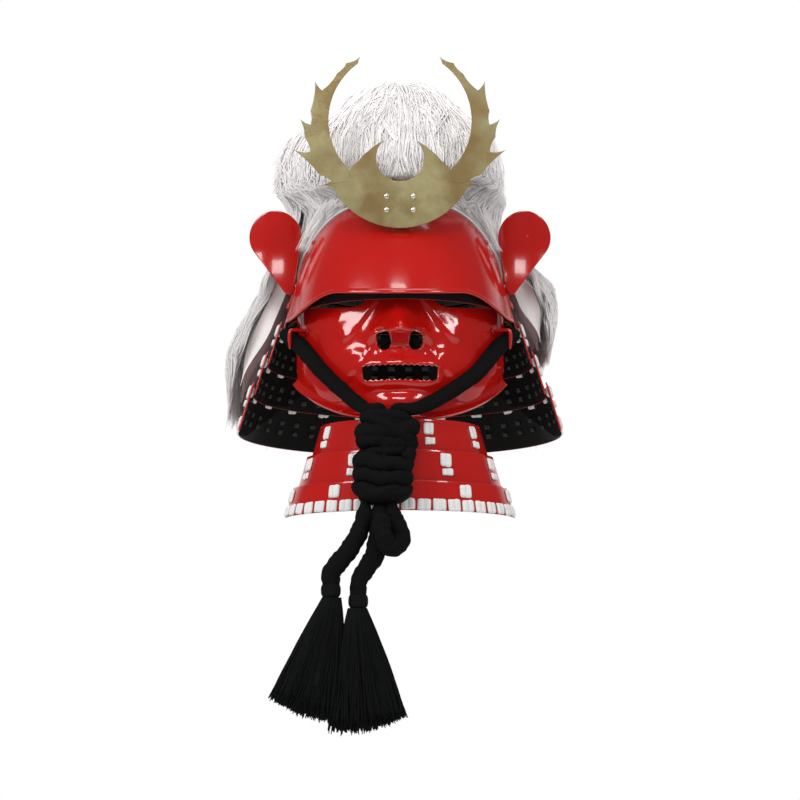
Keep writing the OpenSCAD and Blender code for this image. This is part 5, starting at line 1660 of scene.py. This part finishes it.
def quilt(phi, z):
    """Sewn channels of the liner: twelve seams up the dome and two rounds"""
    rib = np.abs(np.sin(np.radians(phi) * 6))
    rounds = np.minimum(np.abs(z - LINER_SEAMS[0]), np.abs(z - LINER_SEAMS[1]))
    return 1.6 * bump(rib, 0.09) + 1.3 * bump(rounds, 1.6) - 0.9


def make_liner(s):
    outer_off = -BOWL_WALL - LINER_GAP
    inner_off = outer_off - LINER_T
    outer = dome_grid(lambda phi: 0 * phi + LINER_LOW, 70, outer_off, 300)
    inner = dome_grid(lambda phi: 0 * phi + LINER_LOW, 70, inner_off, 300, quilt)
    shape = Shape()
    shape.dome(outer, inner, [0, 0, BOWL_H + outer_off], [0, 0, BOWL_H + inner_off - 0.9], (0, 0, 0))
    liner = shape.piece("quilted_liner", "helmet", ["liner"], *LINER_CLOTH)

    hem_top = LINER_LOW + inner_off * math.sin(float(bowl_lean(LINER_LOW))) - FIT
    thick = LINER_T + LINER_GAP - 1
    inset = BOWL_WALL + 0.7 + thick / 2
    a, b = BOWL_W / 2 * float(bowl_f(hem_top)) - inset, BOWL_L / 2 * float(bowl_f(hem_top)) - inset
    phi = np.linspace(0, 360, 400, endpoint=False)
    pucker = 1 + s.hem_pucker * np.sin(np.radians(phi) * 44)
    section = []
    for w in np.linspace(0, 2 * np.pi, 20, endpoint=False):
        c, k = math.cos(w), math.sin(w)
        out = thick / 2 * math.copysign(abs(c) ** 0.7, c) * pucker
        up = HEM_H / 2 * math.copysign(abs(k) ** 0.7, k)
        section.append(ring(a + out, b + out, phi, hem_top - HEM_H / 2 + up))
    shape = Shape()
    shape.loops(np.array(section))
    hem = shape.piece("padded_hem", "helmet", ["liner_hem"], *LINER_CLOTH)


# Stage, in metres

CAMERA_AT, CAMERA_AIM, CAMERA_LENS = (0, -3.69, -0.567), (0, -0.05, -0.08), 190.9
LAMPS = (
    ("key", (-0.05, -1.7, 1.1), 0.6, 0.45),
    ("left", (-1.35, -1.5, 1.0), 1.0, 0.6),
    ("right", (1.25, -1.5, 0.95), 0.35, 0.35),
    ("top", (0.1, -0.2, 1.7), 1.0, 1.0),
    ("rear", (0.5, 1.9, 0.9), 1.2, 0.8),
)
FLOOR_HALF, FLOOR_Z = 7.0, -1.32
FLOOR_DARK, FLOOR_LIGHT = (0.78, 0.78, 0.78, 1), (0.84, 0.84, 0.84, 1)


def place_camera(scene):
    camera = bpy.data.objects.new("camera", bpy.data.cameras.new("camera"))
    scene.collection.objects.link(camera)
    camera.location = CAMERA_AT
    aim = Vector(CAMERA_AIM) - camera.location
    camera.rotation_euler = aim.to_track_quat("-Z", "Y").to_euler()
    camera.data.sensor_width = 36
    camera.data.lens = CAMERA_LENS
    camera.data.clip_start = 0.05
    scene.camera = camera
    scene.view_settings.view_transform = "Standard"


def light_room(scene, s):
    """White paper stands behind the object, and the room in front of it is dimmer"""
    world = bpy.data.worlds.new("studio")
    scene.world = world
    world.use_nodes = True
    tree = world.node_tree
    path = tree.nodes.new("ShaderNodeLightPath")
    coords = tree.nodes.new("ShaderNodeTexCoord")
    split = tree.nodes.new("ShaderNodeSeparateXYZ")
    feed(tree, split, Vector=coords.outputs["Generated"])
    paper = add_node(tree, "ShaderNodeMapRange", From_Min=0.45, From_Max=0.75, To_Min=s.room_light, To_Max=1.0)
    feed(tree, paper, Value=split.outputs["Y"])
    shown = math_node(tree, "MAXIMUM", path.outputs["Is Glossy Ray"], path.outputs["Is Transmission Ray"])
    plain = mix_colours(tree, shown, (s.world_light,) * 3 + (1.0,), paper.outputs["Result"])
    seen = mix_colours(tree, path.outputs["Is Camera Ray"], plain, (1.0,) * 4)
    feed(tree, tree.nodes["Background"], Color=seen)


def hang_lamps(scene, s):
    for name, at, size, size_y in LAMPS:
        lamp = bpy.data.lights.new(name, "AREA")
        lamp.shape = "RECTANGLE"
        lamp.size, lamp.size_y, lamp.energy = size, size_y, getattr(s, f"{name}_light")
        holder = bpy.data.objects.new(name, lamp)
        scene.collection.objects.link(holder)
        holder.location = at
        holder.rotation_euler = (Vector((0, 0, 0)) - Vector(at)).to_track_quat("-Z", "Y").to_euler()


def lay_floor(scene):
    tree, shader = start_finish("pale floor", 0.1, Roughness=0.9)
    patina = place(tree, "Patina", Cloud_Scale=3.0, Speck_Scale=200.0)
    base = mix_colours(tree, patina.outputs["Cloud"], FLOOR_DARK, FLOOR_LIGHT)
    feed(tree, shader, Base_Color=base)
    mesh = bpy.data.meshes.new("floor")
    w, z = FLOOR_HALF, FLOOR_Z
    mesh.from_pydata([(-w, -w, z), (w, -w, z), (w, w, z), (-w, w, z)], [], [(0, 1, 2, 3)])
    mesh.materials.append(bpy.data.materials["pale floor"])
    floor = bpy.data.objects.new("floor", mesh)
    scene.collection.objects.link(floor)


def make_stage(s):
    scene = bpy.context.scene
    place_camera(scene)
    light_room(scene, s)
    hang_lamps(scene, s)
    lay_floor(scene)


def make_finishes(c):
    shared_effects()
    lacquer("red lacquer", c.lacquer, 0.14, 0.5)
    lacquer("mask lacquer", c.mask, 0.11, 0.7)
    # A near-black copy of the red lacquer: painted shade for the base band under the visor
    lacquer("deep lacquer", shade(c.lacquer, 0.02), 0.5, 0.0, 0.05)
    lacquer("black lining", c.lining, 0.85, 0.0, 0.08)
    brass("crest brass", c.brass, c.brass_green, 0.36)
    brass("fittings brass", c.brass, shade(c.brass, 0.8), 0.3)
    brass("bright rivets", (0.95, 0.86, 0.72), (0.9, 0.8, 0.66), 0.25)
    cloth("white lace", c.lace, 0.75, 210.0, 150.0, 0.0, 0.12, 0.2)
    # The same lace darkened as painted shade, for the knots inside the neck guard
    cloth("shaded lace", c.lace_in_painted_shade, 0.85, 210.0, 150.0, 0.0, 0.1)
    cloth("black cord", c.cord, 0.92, 95.0, 95.0, 0.5, 0.18, 0.0, 0.06)
    cloth("cap cloth", c.hair, 0.85, 110.0, 110.0, 0.0, 0.1)
    cloth("liner cloth", c.liner, 0.9, 90.0, 90.0, 0.0, 0.12, 0.2)
    threads("white hair", c.hair, 0.9, 0.03, 34.0, 0.5, 0.05)
    threads("black thread", c.thread, 0.85, 0.35, 60.0, 0.0, 0.12)


# Settings that a user may change

def length(label, text, value):
    return FloatProperty(name=label, description=text, default=value, unit="LENGTH")


def power(label, text, value):
    return FloatProperty(name=label, description=text, default=value, unit="POWER")


def ratio(label, text, value, **limits):
    return FloatProperty(name=label, description=text, default=value, **limits)


def number(label, text, value, high):
    return IntProperty(name=label, description=text, default=value, min=100, max=high)


def tint(label, text, value):
    return FloatVectorProperty(name=label, description=text, subtype="COLOR", default=value, min=0, max=1)


class HelmetSizes(bpy.types.PropertyGroup):
    """Sizes of the helmet's fine forms"""
    visor_rim: length("Visor rim", "Height of the visor's rolled rim", 0.0034)
    visor_bead: length("Visor bead", "How far the rolled rim stands out", 0.0008)
    ear_dish: length("Turn-back dish", "How far the lower half of a turn-back comes forward", 0.004)
    crest_edge: length("Crest edge", "Rounding of the crest's edges", 0.0003)
    tooth: length("Teeth", "Length of the teeth round the mouth", 0.0017)
    lip_rim: length("Lip rim", "Height of the rim round the mouth", 0.0018)
    mask_unevenness: length("Beaten surface", "Unevenness of the mask", 0.0011)
    lace_fullness: ratio("Lace fullness", "Thickness of the laces, as a share", 1.0, min=0.5, max=1.3)
    hair_wave: length("Hair wave", "How far the locks wave to the side", 0.005)
    crown_strands: number("Crown strands", "Number of strands of the hair's crown", 8400, 8600)
    fall_strands: number("Fall strands", "Number of strands of the falls, for each share", 5000, 5600)
    cord_full: length("Hanging cord", "Radius of the hanging cords where they are full", 0.0078)
    cord_folds: ratio("Cord folds", "Depth of the folds in the cords, as a share of their radius", 0.07, min=0, max=0.2)
    tassel_threads: number("Tassel threads", "Number of threads in each tassel", 1500, 5000)
    hem_pucker: ratio("Hem pucker", "Depth of the hem's gathers, as a share", 0.06, min=0, max=0.2)
    world_light: ratio("World light", "Level of the light from all round", 0.74, min=0)
    room_light: ratio("Room light", "Level that gloss shows in front of the object", 0.1, min=0)
    key_light: power("Key light", "Power of the lamp high in front", 8)
    left_light: power("Left light", "Power of the lamp at the front left", 18)
    right_light: power("Right light", "Power of the lamp at the front right", 5)
    top_light: power("Top light", "Power of the lamp above", 8)
    rear_light: power("Rear light", "Power of the lamp behind", 16)


class HelmetColours(bpy.types.PropertyGroup):
    """Colours of the helmet's finishes"""
    lacquer: tint("Lacquer", "Red lacquer of the plates", (0.42, 0.006, 0.004))
    mask: tint("Mask", "Red lacquer of the face mask", (0.43, 0.005, 0.003))
    lining: tint("Lining", "Black inside of the plates", (0.005, 0.004, 0.0035))
    brass: tint("Brass", "Brass of the crest", (0.4, 0.28, 0.12))
    brass_green: tint("Brass, tarnished", "Greener patches of the crest", (0.4, 0.37, 0.2))
    lace: tint("Lace", "White laces", (0.86, 0.85, 0.83))
    # The white lace painted dark grey, as painted shade inside the neck guard
    lace_in_painted_shade: tint("Inner lace", "Knots inside the neck guard", (0.045, 0.045, 0.043))
    hair: tint("Hair", "White hair", (0.84, 0.815, 0.81))
    cord: tint("Cord", "Black padded cord", (0.006, 0.006, 0.006))
    thread: tint("Thread", "Black threads of the tassels", (0.005, 0.0055, 0.0055))
    liner: tint("Liner", "Dark cloth of the liner", (0.03, 0.028, 0.028))


def operator(name, label, text, work):
    """An operator that builds one piece or group of like pieces; every work takes the sizes, used or not"""

    def execute(self, context):
        work(context.scene.helmet_sizes)
        return {"FINISHED"}

    return type(name, (bpy.types.Operator,), {
        "bl_idname": "helmet." + label.lower().replace(" ", "_"), "bl_label": label, "__doc__": text,
        "execute": execute,
    })


class HELMET_OT_finishes(bpy.types.Operator):
    """Makes the finishes of every piece"""
    bl_idname = "helmet.finishes"
    bl_label = "Finishes"

    def execute(self, context):
        make_finishes(context.scene.helmet_colours)
        return {"FINISHED"}


class HELMET_OT_cords(bpy.types.Operator):
    """Makes the hanging cords, the bow and the tassels on them"""
    bl_idname = "helmet.cords"
    bl_label = "Hanging cords"

    def execute(self, context):
        s = context.scene.helmet_sizes
        cords = make_cords(s)
        tassels = make_tassels(s)
        return {"FINISHED"}


class HELMET_OT_frame_parts(bpy.types.Operator):
    """Gives the small metal parts of the frame their finishes"""
    bl_idname = "helmet.frame_parts"
    bl_label = "Frame parts"

    def execute(self, context):
        nodes = frame["nodes"]
        for name in ("visor_rivets", "base_band_rivets", "turn_back_rivets"):
            paint(nodes[name], "red lacquer")
        for name in ("crest_prong", "crest_socket", "cord_ring_left", "cord_ring_right", "ring_staples"):
            paint(nodes[name], "fittings brass")
        return {"FINISHED"}


PIECES = [
    operator("HELMET_OT_stage", "Stage", "Makes the camera, the light and the floor", make_stage),
    operator("HELMET_OT_bowl", "Bowl", "Makes the bowl", make_bowl),
    operator("HELMET_OT_base_band", "Base band", "Makes the band round the rim", make_base_band),
    operator("HELMET_OT_visor", "Visor", "Makes the visor with its rolled rim", make_visor),
    operator("HELMET_OT_neck_lames", "Neck lames", "Makes the lames of the neck guard", make_neck_lames),
    operator("HELMET_OT_neck_lacing", "Neck lacing", "Makes the laces of the neck guard", make_neck_lacing),
    operator("HELMET_OT_turn_backs", "Turn backs", "Makes the turned-back wings", make_turn_backs),
    operator("HELMET_OT_crest", "Crest", "Makes the crest and its rivets", make_crest),
    operator("HELMET_OT_mask", "Mask", "Makes the face mask", make_mask),
    operator("HELMET_OT_hooks", "Hooks", "Makes the cheek hooks", make_hooks),
    operator("HELMET_OT_throat", "Throat guard", "Makes the throat guard and its laces", make_throat_guard),
    operator("HELMET_OT_straps", "Straps", "Makes the chin cord's two runs", make_straps),
    operator("HELMET_OT_knot", "Knot", "Makes the knot under the chin", make_knot),
    operator("HELMET_OT_winding", "Winding", "Makes the cord wound under the knot", make_winding),
    operator("HELMET_OT_crown", "Crown", "Makes the crown of hair", make_crown),
    operator("HELMET_OT_falls", "Falls", "Makes the falls of hair", make_falls),
    operator("HELMET_OT_hair_cap", "Hair cap", "Makes the cap that the hair is sewn to", make_hair_cap),
    operator("HELMET_OT_liner", "Liner", "Makes the quilted liner and its hem", make_liner),
]
IN_ORDER = [HELMET_OT_finishes, PIECES[0], HELMET_OT_cords, HELMET_OT_frame_parts] + PIECES[1:]


class HELMET_PT_panel(bpy.types.Panel):
    """Lists the helmet's operators and settings"""
    bl_label = "Samurai helmet"
    bl_idname = "HELMET_PT_panel"
    bl_space_type = "VIEW_3D"
    bl_region_type = "UI"
    bl_category = "Helmet"

    def draw(self, context):
        for group in (context.scene.helmet_sizes, context.scene.helmet_colours):
            for key in group.__annotations__:
                self.layout.prop(group, key)
        for kind in IN_ORDER:
            self.layout.operator(kind.bl_idname)


CLASSES = [HelmetSizes, HelmetColours] + IN_ORDER + [HELMET_PT_panel]


def register():
    for kind in CLASSES:
        bpy.utils.register_class(kind)
    bpy.types.Scene.helmet_sizes = PointerProperty(type=HelmetSizes)
    bpy.types.Scene.helmet_colours = PointerProperty(type=HelmetColours)


def unregister():
    del bpy.types.Scene.helmet_colours
    del bpy.types.Scene.helmet_sizes
    for kind in reversed(CLASSES):
        bpy.utils.unregister_class(kind)


def main():
    register()
    for kind in IN_ORDER:
        group, name = kind.bl_idname.split(".")
        getattr(getattr(bpy.ops, group), name)()


if __name__ == "__main__":
    main()
